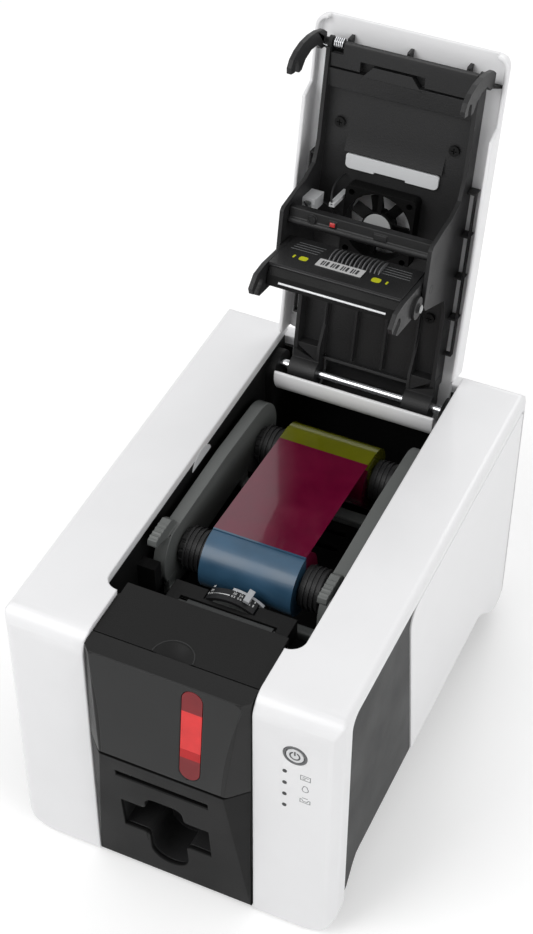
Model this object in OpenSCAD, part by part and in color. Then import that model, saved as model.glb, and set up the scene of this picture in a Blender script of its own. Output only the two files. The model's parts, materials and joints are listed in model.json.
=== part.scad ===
// Desktop id card printer, drawn with its lid open.
// X to the right of someone facing the front, Y to the back, Z up.
// The origin is the middle of the footprint, on the table.

/* [Body] */
// Width over the two side covers
body_w = 205; // [200:1:215]
// Depth of the side covers
cover_d = 294; // [290:1:304]
// Height of the side covers above the table
body_h = 193; // [188:1:198]
// Wall thickness of the moulded covers
wall = 2.5; // [2:0.1:3]
// Height that the feet lift the covers
foot_h = 2; // [1:0.25:3]
// Width of the bay between the side covers
bay_w = 120.4; // [119:0.2:122]
// Width of the front module between the side covers
front_w = 101.6; // [98:0.2:104]
// Height of the arch under each side
arch_h = 43; // [36:1:50]

/* [Front] */
// How far the crease between feeder door and bezel stands out
nose_out = 11.6; // [6:0.2:14]
// Half of the width of the crease
nose_half = 38.7; // [36:0.1:42]
// Width of the card mouth
mouth_w = 56; // [54:0.5:60]
// Radius of the finger well under the card mouth
finger_r = 12; // [9:0.5:13]
// Width of the level window in the feeder door
window_w = 12.4; // [8:0.2:14]
// Diameter of the power button
button_d = 10.5; // [8:0.1:11.5]
// Distance between two indicator lights
led_pitch = 10; // [8:0.5:11]
// Opening angle of the feeder door
door_swing = 50; // [30:1:60]

/* [Lid] */
// Opening angle of the lid
lid_angle = 101.3; // [95:0.1:103]
// Radius of the lid's tail around the hinge
tail_r = 16; // [15:0.1:16.5]
// Diameter of the steel hinge rod
rod_d = 6; // [4:0.5:7]
// Thickness of the lid frame's cheeks
cheek_t = 2.5; // [2:0.1:2.8]
// Side of the square fan
fan_w = 45; // [40:1:46]
// Number of fan blades
fan_blades = 7; // [5:1:9]

/* [Ribbon] */
// Width of the ribbon
film_w = 59; // [56:0.5:60]
// Radius of the supply roll
supply_r = 19.5; // [12:0.5:20]
// Radius of the take-up roll
takeup_r = 19.5; // [12:0.5:19.5]
// Radius of the flanges on the spools
flange_r = 13.5; // [11:0.5:14]

/* [Card path] */
// Width of a card
card_w = 54; // [54:0.1:54]
// Diameter of the platen roller
platen_d = 14; // [12:0.5:15]
// Diameter of the steel axles
axle_d = 5; // [4:0.5:5.5]
// Tooth size (module) of the drive gears
tooth_m = 1; // [0.9:0.05:1]
// Teeth of the platen gear
platen_n = 28; // [26:1:30]
// Teeth of the idler gears
idler_n = 38; // [36:1:38]
// Teeth of the transport gear
transport_n = 24; // [22:1:26]
// Teeth of the motor pinion
pinion_n = 18; // [17:1:20]

/* [Hidden] */

$fn = 64;
eps = 0.01;
// gap between two pieces that are seated on each other
seat = 0.3;
// radial play of a shaft in its bore
play = 0.05;

// colours
shell_white = [0.93, 0.93, 0.94];
panel_grey = [0.3, 0.3, 0.3];
body_black = [0.14, 0.14, 0.15];
frame_black = [0.11, 0.11, 0.12];
cassette_grey = [0.42, 0.44, 0.43];
steel = [0.75, 0.76, 0.78];
rubber_black = [0.08, 0.08, 0.08];
gear_white = [0.85, 0.84, 0.8];

// main planes of the body
half_w = body_w / 2;
front_y = -cover_d / 2 - 2;
rear_y = cover_d / 2 - 2;
base_z = foot_h;
bay_half = bay_w / 2;
front_half = front_w / 2;
skin = half_w - wall;
bay_front = -107;
bay_corner_r = 9;
rim_z = body_h - 8.5;
rear_top = body_h - 12;

// front module
nose_z = body_h - 78;
nose_y = front_y - nose_out;
deck_z = body_h - 3;
door_top_y = front_y - 2.8;
door_top_half = 45.9;
door_seam_y = -137;
module_half = front_half - 0.4;
bezel_bottom = base_z + 2;
moulding = 3;
door_gap = 0.2;
door_pivot_y = nose_y + 3.2;
door_pivot_z = nose_z + 3.5;
door_pin_r = 0.9;
knuckle_r = 1.8;
knuckle_x = 26;
knuckle_w = 5;
mouth_x = -1.5;
mouth_low = 45;
mouth_high = 72;
well_depth = 28;
tray_depth = 74;
path_z = body_h - 92.6;
platform_z = body_h - 31;
platform_half = 38.5;
platform_rear = -60.5;
deck_rear = -100;
gauge_x = -1.5;
gauge_r = 28;
gauge_half = 15;
gauge_axis_z = platform_z + 4.4 - gauge_r;
gauge_y = -58.5;
scale_d = 9;
lever_t = 2;
lever_at = 18;
button_x = 76.4;
button_z = body_h - 32;
led_x = 70.5;
led_top_z = body_h - 48;
window_x = 17.5;

// lid and hinge
hinge_y = rear_y - 21;
hinge_z = body_h - tail_r;
lid_front = -106;
lid_half = bay_half - 0.6;
lid_step_y = -58;
lid_wide_end = hinge_y - 20;
tail_half = 54;
lid_floor = body_h - 10;
floor_t = 2;
cheek_out = 47.5;
cheek_in = cheek_out - cheek_t;
frame_front = -90;
knuckle_out = 9;
latch_y = -93;
latch_z = body_h - 12;
latch_rod_r = 2;
hook_in = 50.4;
hook_t = 3;
catch_y = -90;
catch_z = body_h - 52;
catch_r = 2;
fan_x = -2;
fan_y = 11.4;
fan_t = 10;
strip_y = -22.5;
bar_y = -1;
bar_z = body_h - 56.2;

// ribbon cassette
supply_y = 75;
supply_z = body_h - 42;
takeup_y = -31.5;
takeup_z = body_h - 34;
arm_in = 48.2;
arm_out = 56.2;
arm_r = 26;
arm_z = body_h - 41;
arm_skin = 3;
core_r = 8;
gudgeon_r = 4;
film_t = 0.4;

// card path and drive
print_y = 25;
card_t = 0.8;
platen_z = path_z - platen_d / 2;
head_low = path_z + card_t;
guide_t = 2;
guide_top = path_z - 1;
roller_half = 31;
wall_t = 2.2;
bay_wall_in = bay_half + 0.3;
bay_wall_out = bay_wall_in + wall_t;
gear_x = bay_wall_out + 3;
gear_w = 5;
axle_end = gear_x + gear_w + 2;
platen_r = tooth_m * platen_n / 2;
idler_r = tooth_m * idler_n / 2;
transport_r = tooth_m * transport_n / 2;
pinion_r = tooth_m * pinion_n / 2;
transport_y = print_y - platen_r - 2 * idler_r - transport_r;
transport_roll_r = 6;
transport_z = path_z - transport_roll_r;
feed_roll_r = 8;
hopper_floor = path_z + 17;
feed_z = hopper_floor + 1.4 - feed_roll_r;
feed_span = transport_r + 2 * idler_r + platen_r;
feed_y = transport_y - sqrt(feed_span * feed_span - (feed_z - transport_z) * (feed_z - transport_z));
feed_angle = atan2(feed_z - transport_z, feed_y - transport_y);
mid_angle = atan2(transport_z - platen_z, transport_y - print_y);
front_idler_y = transport_y + (transport_r + idler_r) * cos(feed_angle);
front_idler_z = transport_z + (transport_r + idler_r) * sin(feed_angle);
rear_idler_y = print_y + (platen_r + idler_r) * cos(mid_angle);
rear_idler_z = platen_z + (platen_r + idler_r) * sin(mid_angle);
pinion_angle = -40;
pinion_y = print_y + (platen_r + pinion_r) * cos(pinion_angle);
pinion_z = platen_z + (platen_r + pinion_r) * sin(pinion_angle);
motor_r = 17.5;

// ---------- helpers ----------

// square with four round corners, its low corner at the origin
module rounded(w, h, r) {
    translate([r, 0]) square([w - 2 * r, h]);
    translate([0, r]) square([w, h - 2 * r]);
    for (x = [r, w - r], y = [r, h - r]) translate([x, y]) circle(r);
}

// square whose four corners have their own radii: low left, low right, high right, high left
module cornered(w, h, r) {
    difference() {
        square([w, h]);
        for (i = [0:3]) corner_cut(r[i], [[0, 0], [w, 0], [w, h], [0, h]][i], [0, 90, 180, 270][i]);
    }
}

module corner_cut(r, at, turn) {
    if (r > 0) translate(at) rotate(turn) difference() {
        translate([-1, -1]) square(r + 1);
        translate([r, r]) circle(r);
    }
}

// a slot with round ends, centred
module stadium(w, h) {
    hull() for (s = [-1, 1]) translate([s * (w - h) / 2, 0]) circle(h / 2);
}

// draws an outline given in Y and Z, and extrudes it along X from x0 to x1
module along_x(x0, x1) {
    translate([x0, 0, 0]) rotate([90, 0, 90]) linear_extrude(x1 - x0) children();
}

// draws an outline given in X and Z, and extrudes it along Y from y0 to y1
module along_y(y0, y1) {
    translate([0, y1, 0]) rotate([90, 0, 0]) linear_extrude(y1 - y0) children();
}

// draws an outline given in X and Y, and extrudes it up from z0 to z1
module along_z(z0, z1) {
    translate([0, 0, z0]) linear_extrude(z1 - z0) children();
}

module box(low, high) {
    translate(low) cube(high - low);
}

module rod_x(x0, x1, y, z, r) {
    translate([x0, y, z]) rotate([0, 90, 0]) cylinder(r = r, h = x1 - x0);
}

module rod_y(y0, y1, x, z, r) {
    translate([x, y0, z]) rotate([-90, 0, 0]) cylinder(r = r, h = y1 - y0);
}

module both_sides() {
    children();
    mirror([1, 0, 0]) children();
}

// moves what is drawn for the closed lid to the open lid
module opened() {
    translate([0, hinge_y, hinge_z]) rotate([-lid_angle, 0, 0]) translate([0, -hinge_y, -hinge_z])
        children();
}

// point of an involute with base radius b after an unrolled angle t
function involute(b, t) = [b * (cos(t) + t * PI / 180 * sin(t)), b * (sin(t) - t * PI / 180 * cos(t))];
function turned(p, a) = [p[0] * cos(a) - p[1] * sin(a), p[0] * sin(a) + p[1] * cos(a)];
function unroll(b, r) = sqrt(max(0, r * r / (b * b) - 1)) * 180 / PI;

// involute gear outline; a tooth is centred on the angle phase
module gear_outline(n, phase) {
    pitch = tooth_m * n / 2;
    base = pitch * cos(20);
    root = pitch - 1.2 * tooth_m;
    start = max(base, root);
    tip = pitch + 0.9 * tooth_m;
    backlash = 2.4 / n;
    half = 90 / n - backlash / 2 + tan(20) * 180 / PI - 20;
    steps = [for (i = [0:3]) unroll(base, start + (tip - start) * i / 3)];
    flank = [for (t = steps) turned(involute(base, t), -half)];
    low = turned([root, 0], -half - 0.4);
    right = concat([low], flank);
    left = [for (i = [len(right) - 1:-1:0]) [right[i][0], -right[i][1]]];
    tooth = concat(right, left);
    rotate(phase) polygon([for (k = [0:n - 1]) for (p = tooth) turned(p, k * 360 / n)]);
}

// tooth phase of a gear with n teeth that meshes with one of m teeth at phase a, in the direction d from it
function meshed(m, a, d, n) = d + 180 + 180 / n + (d - a) * m / n;

platen_phase = 0;
rear_idler_phase = meshed(platen_n, platen_phase, mid_angle, idler_n);
transport_phase = meshed(idler_n, rear_idler_phase, mid_angle, transport_n);
front_idler_phase = meshed(transport_n, transport_phase, feed_angle, idler_n);
feed_phase = meshed(idler_n, front_idler_phase, feed_angle, platen_n);
pinion_phase = meshed(platen_n, platen_phase, pinion_angle, pinion_n);

// gear on the left of the bay, at y and z, with a hub and a bore of radius bore
module drive_gear(n, phase, y, z, bore) {
    pitch = tooth_m * n / 2;
    difference() {
        along_x(-gear_x - gear_w, -gear_x) translate([y, z]) gear_outline(n, phase);
        if (pitch > 13) along_x(-gear_x - gear_w - 1, -gear_x - gear_w + 1.5)
            translate([y, z]) difference() {
                circle(pitch - 3.2);
                circle(bore + 2.5);
            }
        rod_x(-gear_x - gear_w - 1, -gear_x + 1, y, z, bore);
    }
}

// ---------- covers ----------

// outer form of the right cover; an inset of one wall gives the hollow in it
module cover_form(inset, inner) {
    open = inset > 0 ? 2 : 0;
    long = rear_y + open - front_y - inset;
    round_rear = inset > 0 ? 0 : 6;
    intersection() {
        along_y(front_y + inset, rear_y + open) translate([inner, base_z + inset])
            cornered(half_w - inset - inner, body_h - base_z - 2 * inset, [0, 20 - inset, 5 - inset, 0]);
        along_x(inner, half_w) translate([front_y + inset, base_z])
            cornered(long, body_h - base_z - inset, [0, 0, round_rear, 14 - inset]);
        along_z(0, body_h) translate([inner, front_y + inset])
            cornered(half_w - inset - inner, long, [0, 8 - inset, round_rear, 0]);
    }
}

// outline in Y and Z of the opening in the side of a cover
module side_opening() {
    translate([front_y + 17, -1]) cornered(rear_y - 6 - front_y - 17, rim_z + 1, [0, 0, 4, 8]);
}

module right_cover_shape() {
    difference() {
        cover_form(0, front_half);
        difference() {
            cover_form(wall, 0);
            // walls beside the front module, and the lip of the bay opening
            box([front_half, front_y, base_z], [front_half + wall, bay_front + 2, body_h]);
            box([bay_half, bay_front, body_h - 7], [bay_half + 2, rear_y, body_h]);
        }
        // bay opening with a round front corner
        along_z(body_h - 60, body_h + 1) translate([0, bay_front])
            cornered(bay_half, cover_d, [0, bay_corner_r, 0, 0]);
        along_x(skin - 1, half_w + 1) side_opening();
        // the foot of the front strip slopes up to the arch
        along_x(front_half - 1, half_w + 1)
            polygon([[front_y + 6, base_z - 1], [front_y + 17.5, 25], [front_y + 17.5, base_z - 1]]);
        box([front_half - 1, front_y + 12, 0], [half_w + 1, rear_y + 1, base_z + 8]);
        box([front_half + wall + 1, front_y + 17, 0], [half_w + 1, rear_y - 6, base_z + 30]);
    }
}

module left_cover() {
    color(shell_white) mirror([1, 0, 0]) right_cover_shape();
}

module right_cover() {
    color(shell_white) difference() {
        right_cover_shape();
        rod_y(front_y - 1, front_y + wall + 1, button_x, button_z, button_d / 2 + 0.4);
        rod_y(front_y - 1, front_y + 0.8, button_x, button_z, button_d / 2 + 2.1);
        for (i = [0:3]) rod_y(front_y - 1, front_y + wall + 1, led_x, led_top_z - i * led_pitch, 1.4);
    }
}

// height of the lower edge of a side at y
function blend(t) = (1 - cos(180 * min(1, max(0, t)))) / 2;
function arch_at(y) = arch_h - (arch_h - 24) * blend((-112 - y) / 20) - (arch_h - 14) * blend((y - 84) / 46);
side_y0 = front_y + 17.3;
side_y1 = rear_y - 6.3;
split_low = -29;
split_high = -49;

// outline in Y and Z of everything under the rim, above the arch
module side_outline(top) {
    low = [for (i = [0:60]) side_y0 + (side_y1 - side_y0) * i / 60];
    intersection() {
        polygon(concat([for (y = low) [y, arch_at(y)]], [[side_y1, top], [side_y0, top]]));
        translate([side_y0, 0]) cornered(side_y1 - side_y0, top, [0, 0, 4, 8]);
    }
}

// front edge of the rear panel at the height z
function split_at(z) = split_low + (split_high - split_low) * (z - arch_h) / (rim_z - arch_h);

// outline in Y and Z of the half behind the slanted joint, with its round upper corner
module rear_half(top) {
    offset(r = 12) offset(delta = -12)
        polygon([[split_at(0), 0], [300, 0], [300, top], [split_at(top), top]]);
}

module side_panel_shape() {
    along_x(half_w - 1.2 - wall, half_w - 1.2) difference() {
        side_outline(rim_z - seat);
        offset(delta = seat) rear_half(rim_z - 1.6);
        translate([split_high + 13, rim_z - 20]) square([300, 40]);
    }
    // flange behind the rim of the cover
    along_x(skin - 2.4, skin - seat) difference() {
        translate([side_y0 - 4, rim_z - 4]) square([split_high - side_y0, 7.5]);
        translate([side_y0 - 5, rim_z]) square([5, 10]);
    }
    along_x(skin - 2.4, skin - seat) translate([side_y0 - 4, 60]) square([8, rim_z - 66]);
}

module rear_panel_shape() {
    along_x(skin - 0.7, half_w - 0.3) intersection() {
        side_outline(rim_z - 1.6);
        rear_half(rim_z - 1.6);
    }
    // flange behind the rim of the cover
    along_x(skin - 2.4, skin - seat) {
        translate([split_high + 16, rim_z - 8]) square([side_y1 - split_high - 16, 11.5]);
        translate([side_y1 - 6, 40]) square([8, rim_z - 46]);
    }
}

module left_side_panel() {
    color(panel_grey) mirror([1, 0, 0]) side_panel_shape();
}

module right_side_panel() {
    color(panel_grey) side_panel_shape();
}

module left_rear_panel() {
    color(shell_white) mirror([1, 0, 0]) rear_panel_shape();
}

module right_rear_panel() {
    color(shell_white) rear_panel_shape();
}

// outline in X and Z of the rear cover, grown or shrunk by d
module rear_outline(d) {
    r = 6 + d;
    translate([-half_w + 4.5 - d, 12 - d]) cornered(body_w - 9 + 2 * d, rear_top - 12 + 2 * d, [r, r, r, r]);
}

module rear_cover() {
    color(shell_white) difference() {
        union() {
            along_y(rear_y + seat / 2, rear_y + 10) rear_outline(0);
            along_y(rear_y - 4, rear_y + 1) intersection() {
                rear_outline(-3);
                translate([-200, 0]) square([400, hinge_z - 3]);
            }
        }
        along_y(rear_y + 1, rear_y + 10 - wall) rear_outline(-wall);
        along_y(rear_y - 5, rear_y + 1.5) rear_outline(-3 - wall);
        // air slots
        for (i = [-5:5]) along_y(rear_y + 5, rear_y + 11) {
            translate([i * 9 - 1.5, 100]) square([3, 40]);
            for (z = [100, 140]) translate([i * 9, z]) circle(1.5);
        }
        along_y(rear_y + 5, rear_y + 11) translate([inlet_x, inlet_z]) square([inlet_w + 0.4, inlet_h + 0.4], center = true);
        along_y(rear_y + 5, rear_y + 11) translate([-10, 44]) square([usb_w + 0.4, usb_h + 0.4], center = true);
    }
}

inlet_w = 0.75 * (skin - bay_wall_out);
inlet_x = -bay_wall_out - 0.8 - inlet_w / 2;
inlet_z = 46;
inlet_h = 20;
usb_w = 12;
usb_h = 11;

module power_inlet() {
    color(body_black) difference() {
        union() {
            along_y(rear_y - 14, rear_y + 10) translate([inlet_x, inlet_z]) square([inlet_w, inlet_h], center = true);
            along_y(rear_y + 2, rear_y + 10 - wall - 0.1) translate([inlet_x, inlet_z])
                square([inlet_w + 5, inlet_h + 5], center = true);
        }
        along_y(rear_y - 8, rear_y + 11) translate([inlet_x, inlet_z]) scale([inlet_w / 28, 1])
            polygon([[-11, -7], [11, -7], [11, 3], [6, 7], [-6, 7], [-11, 3]]);
    }
    // contact pins
    color(steel) for (s = [-1, 0, 1]) rod_y(rear_y - 9, rear_y + 1.5, inlet_x + s * inlet_w / 4, inlet_z - 1, 1.2);
}

module usb_socket() {
    color(steel) difference() {
        along_y(rear_y - 7, rear_y + 10) translate([-10, 44]) square([usb_w, usb_h], center = true);
        along_y(rear_y + 0, rear_y + 11) translate([-10, 44])
            difference() {
                square([usb_w - 2, usb_h - 2], center = true);
                square([5, 3], center = true);
            }
    }
}

// ---------- base ----------

module tray_outline(d) {
    low = base_z + d;
    polygon([[-80 + d, low], [80 - d, low], [84 - d, 8 + d * 0.3], [96 - d, 36], [96 - d, 44 + d],
        [-96 + d, 44 + d], [-96 + d, 36], [-84 + d, 8 + d * 0.3]]);
}

module base_tray() {
    color(body_black) {
        difference() {
            along_y(front_y + 11, rear_y - 5) tray_outline(0);
            along_y(front_y + 11 + wall, rear_y - 5 - wall) tray_outline(wall);
            box([-56, front_y + 10, base_z + 8], [56, front_y + 12 + wall, 60]);
            box([inlet_x - 16, rear_y - 6 - wall, 33], [0, rear_y - 4, 60]);
            for (i = [-6:6]) along_z(base_z - 1, base_z + wall + 1) translate([i * 8 - 1.5, 22]) square([3, 36]);
        }
        // posts that carry the bay walls
        both_sides() for (y = [-90, -10, 80])
            box([bay_wall_in - 4, y - 4, base_z + 1], [bay_wall_out + 2, y + 4, bay_low - seat]);
    }
}

module rubber_feet() {
    color(rubber_black) for (p = [[-70, -120], [70, -120], [-70, 120], [70, 120], [0, 0]])
        translate([p[0], p[1], 0]) cylinder(r = 7, h = foot_h);
}

bay_low = 48;

// outline in X and Y of a bay wall, from the front module to the hinge
module bay_wall_outline() {
    difference() {
        translate([front_half + wall + 0.5, bay_front + seat])
            cornered(bay_wall_out - front_half - wall - 0.5, rear_y - 5 - bay_front, [0, bay_corner_r, 0, 0]);
        translate([0, bay_front + seat + wall_t])
            cornered(bay_wall_in, rear_y - bay_front, [0, bay_corner_r - wall_t, 0, 0]);
    }
}

module axle_bores(r) {
    rod_x(bay_wall_in - 2, bay_wall_out + 9, print_y, platen_z, r);
    rod_x(bay_wall_in - 2, bay_wall_out + 9, transport_y, transport_z, r);
    rod_x(bay_wall_in - 9, bay_wall_out + 9, feed_y, feed_z, r);
}

module bay_wall_shape() {
    difference() {
        union() {
            along_z(bay_low, body_h - 7 - seat) bay_wall_outline();
            // bracket of the hinge
            along_x(bay_half - 5.2, bay_wall_out - 0.1) difference() {
                translate([hinge_y - 14, hinge_z - 27]) cornered(27, 34, [0, 0, 12, 12]);
                translate([hinge_y, hinge_z]) circle(rod_d / 2 + play);
            }
            // rests for the cassette
            box([arm_in + 1, takeup_y - 8, arm_rest - 4], [bay_wall_in + 1, takeup_y + 8, arm_rest - seat]);
            box([arm_in + 1, supply_y - 8, supply_rest - 4], [bay_wall_in + 1, supply_y + 8, supply_rest - seat]);
            // collars for the axles
            for (a = [[print_y, platen_z], [transport_y, transport_z], [feed_y, feed_z]])
                rod_x(bay_wall_in + 0.5, bay_wall_out + 2, a[0], a[1], axle_d / 2 + 2.2);
        }
        axle_bores(axle_d / 2 + play);
        rod_x(bay_half - 6, bay_wall_out + 1, hinge_y, hinge_z, rod_d / 2 + play);
        rod_x(bay_wall_in - 2, bay_wall_out + 1, catch_y, catch_z, catch_r);
    }
}

arm_rest = takeup_z - 25.7;
supply_rest = supply_z - arm_r;

module left_bay_wall() {
    color(body_black) {
        mirror([1, 0, 0]) difference() {
            bay_wall_shape();
            rod_x(bay_wall_in - 2, bay_wall_out + 1, pinion_y, pinion_z, 3);
        }
        // black wall behind the ribbon, around the curl of the lid
        box([-bay_wall_out, rear_y - 6, bay_low + 4], [-bay_wall_in, rear_y - 2.2, rear_top - 4]);
        box([-bay_wall_in - 0.5, rear_y - 4.2, bay_low + 4], [bay_wall_out, rear_y - 2.2, rear_top - 4]);
        // box at the front left corner of the bay
        difference() {
            box([-bay_wall_in - 1, -67, 150], [-bay_half + 11, -59.3, platform_z + 8]);
            box([-bay_wall_in + 1.5, -65, 148], [-bay_half + 9, -61.3, platform_z + 6]);
        }
        // pins of the idler gears
        for (a = [[front_idler_y, front_idler_z], [rear_idler_y, rear_idler_z]])
            rod_x(-gear_x - gear_w - 0.5, -bay_wall_in - 0.5, a[0], a[1], idler_pin_r);
    }
}

module right_bay_wall() {
    color(body_black) bay_wall_shape();
}

idler_pin_r = 2;

module latch_pins() {
    color(steel) both_sides() {
        rod_x(hook_in - 2.4, bay_wall_out - 0.3, catch_y, catch_z, catch_r - 0.01);
    }
}

module card_guide() {
    color(body_black) difference() {
        union() {
            box([-bay_wall_in + seat, -58, guide_top - guide_t], [bay_wall_in - seat, 100, guide_top]);
            // raised card edges
            both_sides() box([card_w / 2 + 0.6, -56, guide_top - 0.5], [card_w / 2 + 2.4, 98, path_z + 1.5]);
        }
        box([-roller_half - 2, print_y - 8.6, 0], [roller_half + 2, print_y + 8.6, 200]);
        box([-roller_half + 2, transport_y - 7, 0], [roller_half - 2, transport_y + 7, 200]);
        both_sides() box([39.5, -4, 0], [47.5, 46, 200]);
        for (y = [56, 70, 84]) along_z(0, 200) translate([0, y]) stadium(30, 5);
    }
}

module card_hopper() {
    color(body_black) difference() {
        union() {
            box([-31, front_y + 5, hopper_floor - wall], [31, -62.5, body_h - 46.5]);
            // beam that rests between the bay walls
            box([-bay_wall_in + seat, -93, hopper_floor - 7], [bay_wall_in - seat, -88, hopper_floor - wall + 0.5]);
        }
        box([-28.5, front_y - 8, hopper_floor], [28.5, -62.5 - wall, 200]);
        // gate for one card, and the window over the feed roller
        box([-28.5, -70, hopper_floor], [28.5, -60, hopper_floor + 1.2]);
        box([-17, feed_y - 10, hopper_floor - 17], [17, feed_y + 10, hopper_floor + 1]);
        box([-12, front_y, hopper_floor - 5], [12, front_y + 22, hopper_floor + 1]);
    }
}

// outline in X and Z of the card mouth
module mouth_outline() {
    // the inner corners between the band and its two bulges are round
    translate([mouth_x, 0]) offset(r = -3, $fn = 32) offset(delta = 3) {
        translate([-mouth_w / 2, mouth_low]) square([mouth_w, mouth_high - mouth_low]);
        translate([-finger_r, mouth_low - 15 - finger_r])
            cornered(2 * finger_r, finger_r + 16, [finger_r, finger_r, 0, 0]);
        translate([-12, mouth_high - 1]) cornered(24, 12.5, [0, 0, 6, 6]);
    }
}

module band_outline() {
    translate([mouth_x - mouth_w / 2, mouth_low]) square([mouth_w, mouth_high - mouth_low]);
}

module output_tray() {
    color(body_black) difference() {
        union() {
            along_y(nose_y, front_y + well_depth) offset(delta = 2) mouth_outline();
            along_y(front_y + 20, front_y + tray_depth + 8) offset(delta = 2) band_outline();
        }
        along_y(nose_y - 1, front_y + well_depth - 2) offset(delta = 0.5) mouth_outline();
        along_y(front_y + 8, front_y + tray_depth + 6) offset(delta = 0.5) band_outline();
        // the front edge follows the inside of the bezel
        along_x(-60, 60) polygon([[nose_y - 5, nose_z], [nose_y + moulding + seat, nose_z],
            [front_y + moulding + seat, bezel_bottom], [nose_y - 5, bezel_bottom]]);
    }
}

module main_board() {
    color([0.1, 0.35, 0.2]) {
        difference() {
            box([bay_wall_out + 4, -85, 52], [bay_wall_out + 5.6, 110, 140]);
            rod_x(bay_wall_out + 3, bay_wall_out + 7, transport_y, transport_z, 4);
            rod_x(bay_wall_out + 3, bay_wall_out + 7, print_y, platen_z, 4);
        }
        // chips, capacitors and a connector
        box([bay_wall_out + 5, -20, 110], [bay_wall_out + 8, 5, 132]);
        box([bay_wall_out + 5, 60, 70], [bay_wall_out + 9, 95, 84]);
        for (y = [-70, -56]) rod_x(bay_wall_out + 5, bay_wall_out + 18, y, 70, 5);
        // stand-offs against the bay wall
        for (y = [-80, 105], z = [57, 135]) rod_x(bay_wall_out + 0.1, bay_wall_out + 5, y, z, 2.5);
    }
}

module drive_motor() {
    color(steel) {
        rod_x(-half_w + 10, -gear_x - gear_w - 3.4, pinion_y, pinion_z, motor_r);
        difference() {
            union() {
                rod_x(-gear_x - gear_w - 4.5, -gear_x - gear_w - 3, pinion_y, pinion_z, 24);
                for (a = [-130, -20, 60]) rod_x(-gear_x - gear_w - 4, -bay_wall_out - 0.1,
                    pinion_y + 21 * cos(a), pinion_z + 21 * sin(a), 2.2);
            }
            rod_x(-gear_x - gear_w - 3.5, -gear_x - gear_w - 2, pinion_y, pinion_z, 4);
        }
    }
}

// ---------- front ----------

// takes away what lies outside the plane through three points
module facet(p, q, r) {
    n = cross(q - p, r - p);
    translate(p) rotate([0, acos(n[2] / norm(n)), atan2(n[1], n[0])])
        translate([-200, -200, 0]) cube([400, 400, 100]);
}

crease = [nose_half, nose_y, nose_z];
top_end = [door_top_half, door_top_y, deck_z];
flank = [module_half, front_y, nose_z];
bottom_end = [module_half - 0.4, front_y, bezel_bottom];

// face of the door, or of the bezel, at the height z
function face_at(z) = nose_y + (door_top_y - nose_y) * (z - nose_z) / (deck_z - nose_z);
function bezel_at(z) = nose_y + (front_y - nose_y) * (nose_z - z) / (nose_z - bezel_bottom);

// solid behind the faces of the door, moved back by d, from z0 to z1
module door_form(d, z0, z1) {
    difference() {
        along_x(-module_half + d, module_half - d) polygon([[front_y + 3, z0], [front_y + 3, z1],
            [face_at(z1) + d, z1], [face_at(z0) + d, z0]]);
        both_sides() translate([-0.71 * d, 0.71 * d, 0]) facet(crease, flank, top_end);
    }
}

// the same for the bezel under the door
module bezel_form(d, z0, z1) {
    back = front_y + 3 + d / 3;
    difference() {
        along_x(-module_half + d, module_half - d) polygon([[back, z0], [back, z1],
            [bezel_at(z1) + d, z1], [bezel_at(z0) + d, z0]]);
        both_sides() translate([-0.71 * d, 0.71 * d, 0]) facet(crease, bottom_end, flank);
    }
}

module front_bezel() {
    color(body_black) {
        difference() {
            bezel_form(0, bezel_bottom, nose_z);
            bezel_form(moulding, bezel_bottom - 1, nose_z + 2);
            along_y(-200, front_y + 10) mouth_outline();
            along_y(-200, front_y + 10) translate([-30, path_z - 2.4]) square([58, 4.6]);
        }
        // ledge under the door, floor, and the knuckles of the door hinge
        bezel_form(moulding - 0.5, nose_z - 3.5, nose_z - 1);
        box([-module_half + 4, front_y + 0.5, bezel_bottom], [module_half - 4, front_y + 9, bezel_bottom + wall]);
        both_sides() difference() {
            along_x(knuckle_x - knuckle_w / 2, knuckle_x + knuckle_w / 2) {
                translate([door_pivot_y, door_pivot_z]) circle(knuckle_r);
                translate([door_pivot_y, door_pivot_z - 1]) square([6, 2]);
                translate([door_pivot_y + 4, nose_z - 3]) square([2.4, 7.5]);
            }
            rod_x(0, 60, door_pivot_y, door_pivot_z, door_pin_r + play);
        }
    }
}

// outline of the level window, grown by d
module window_outline(d) {
    translate([window_x, (nose_z + deck_z) / 2 + 1.2]) rotate(90) stadium(66 + 2 * d, window_w + 2 * d);
}

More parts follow.
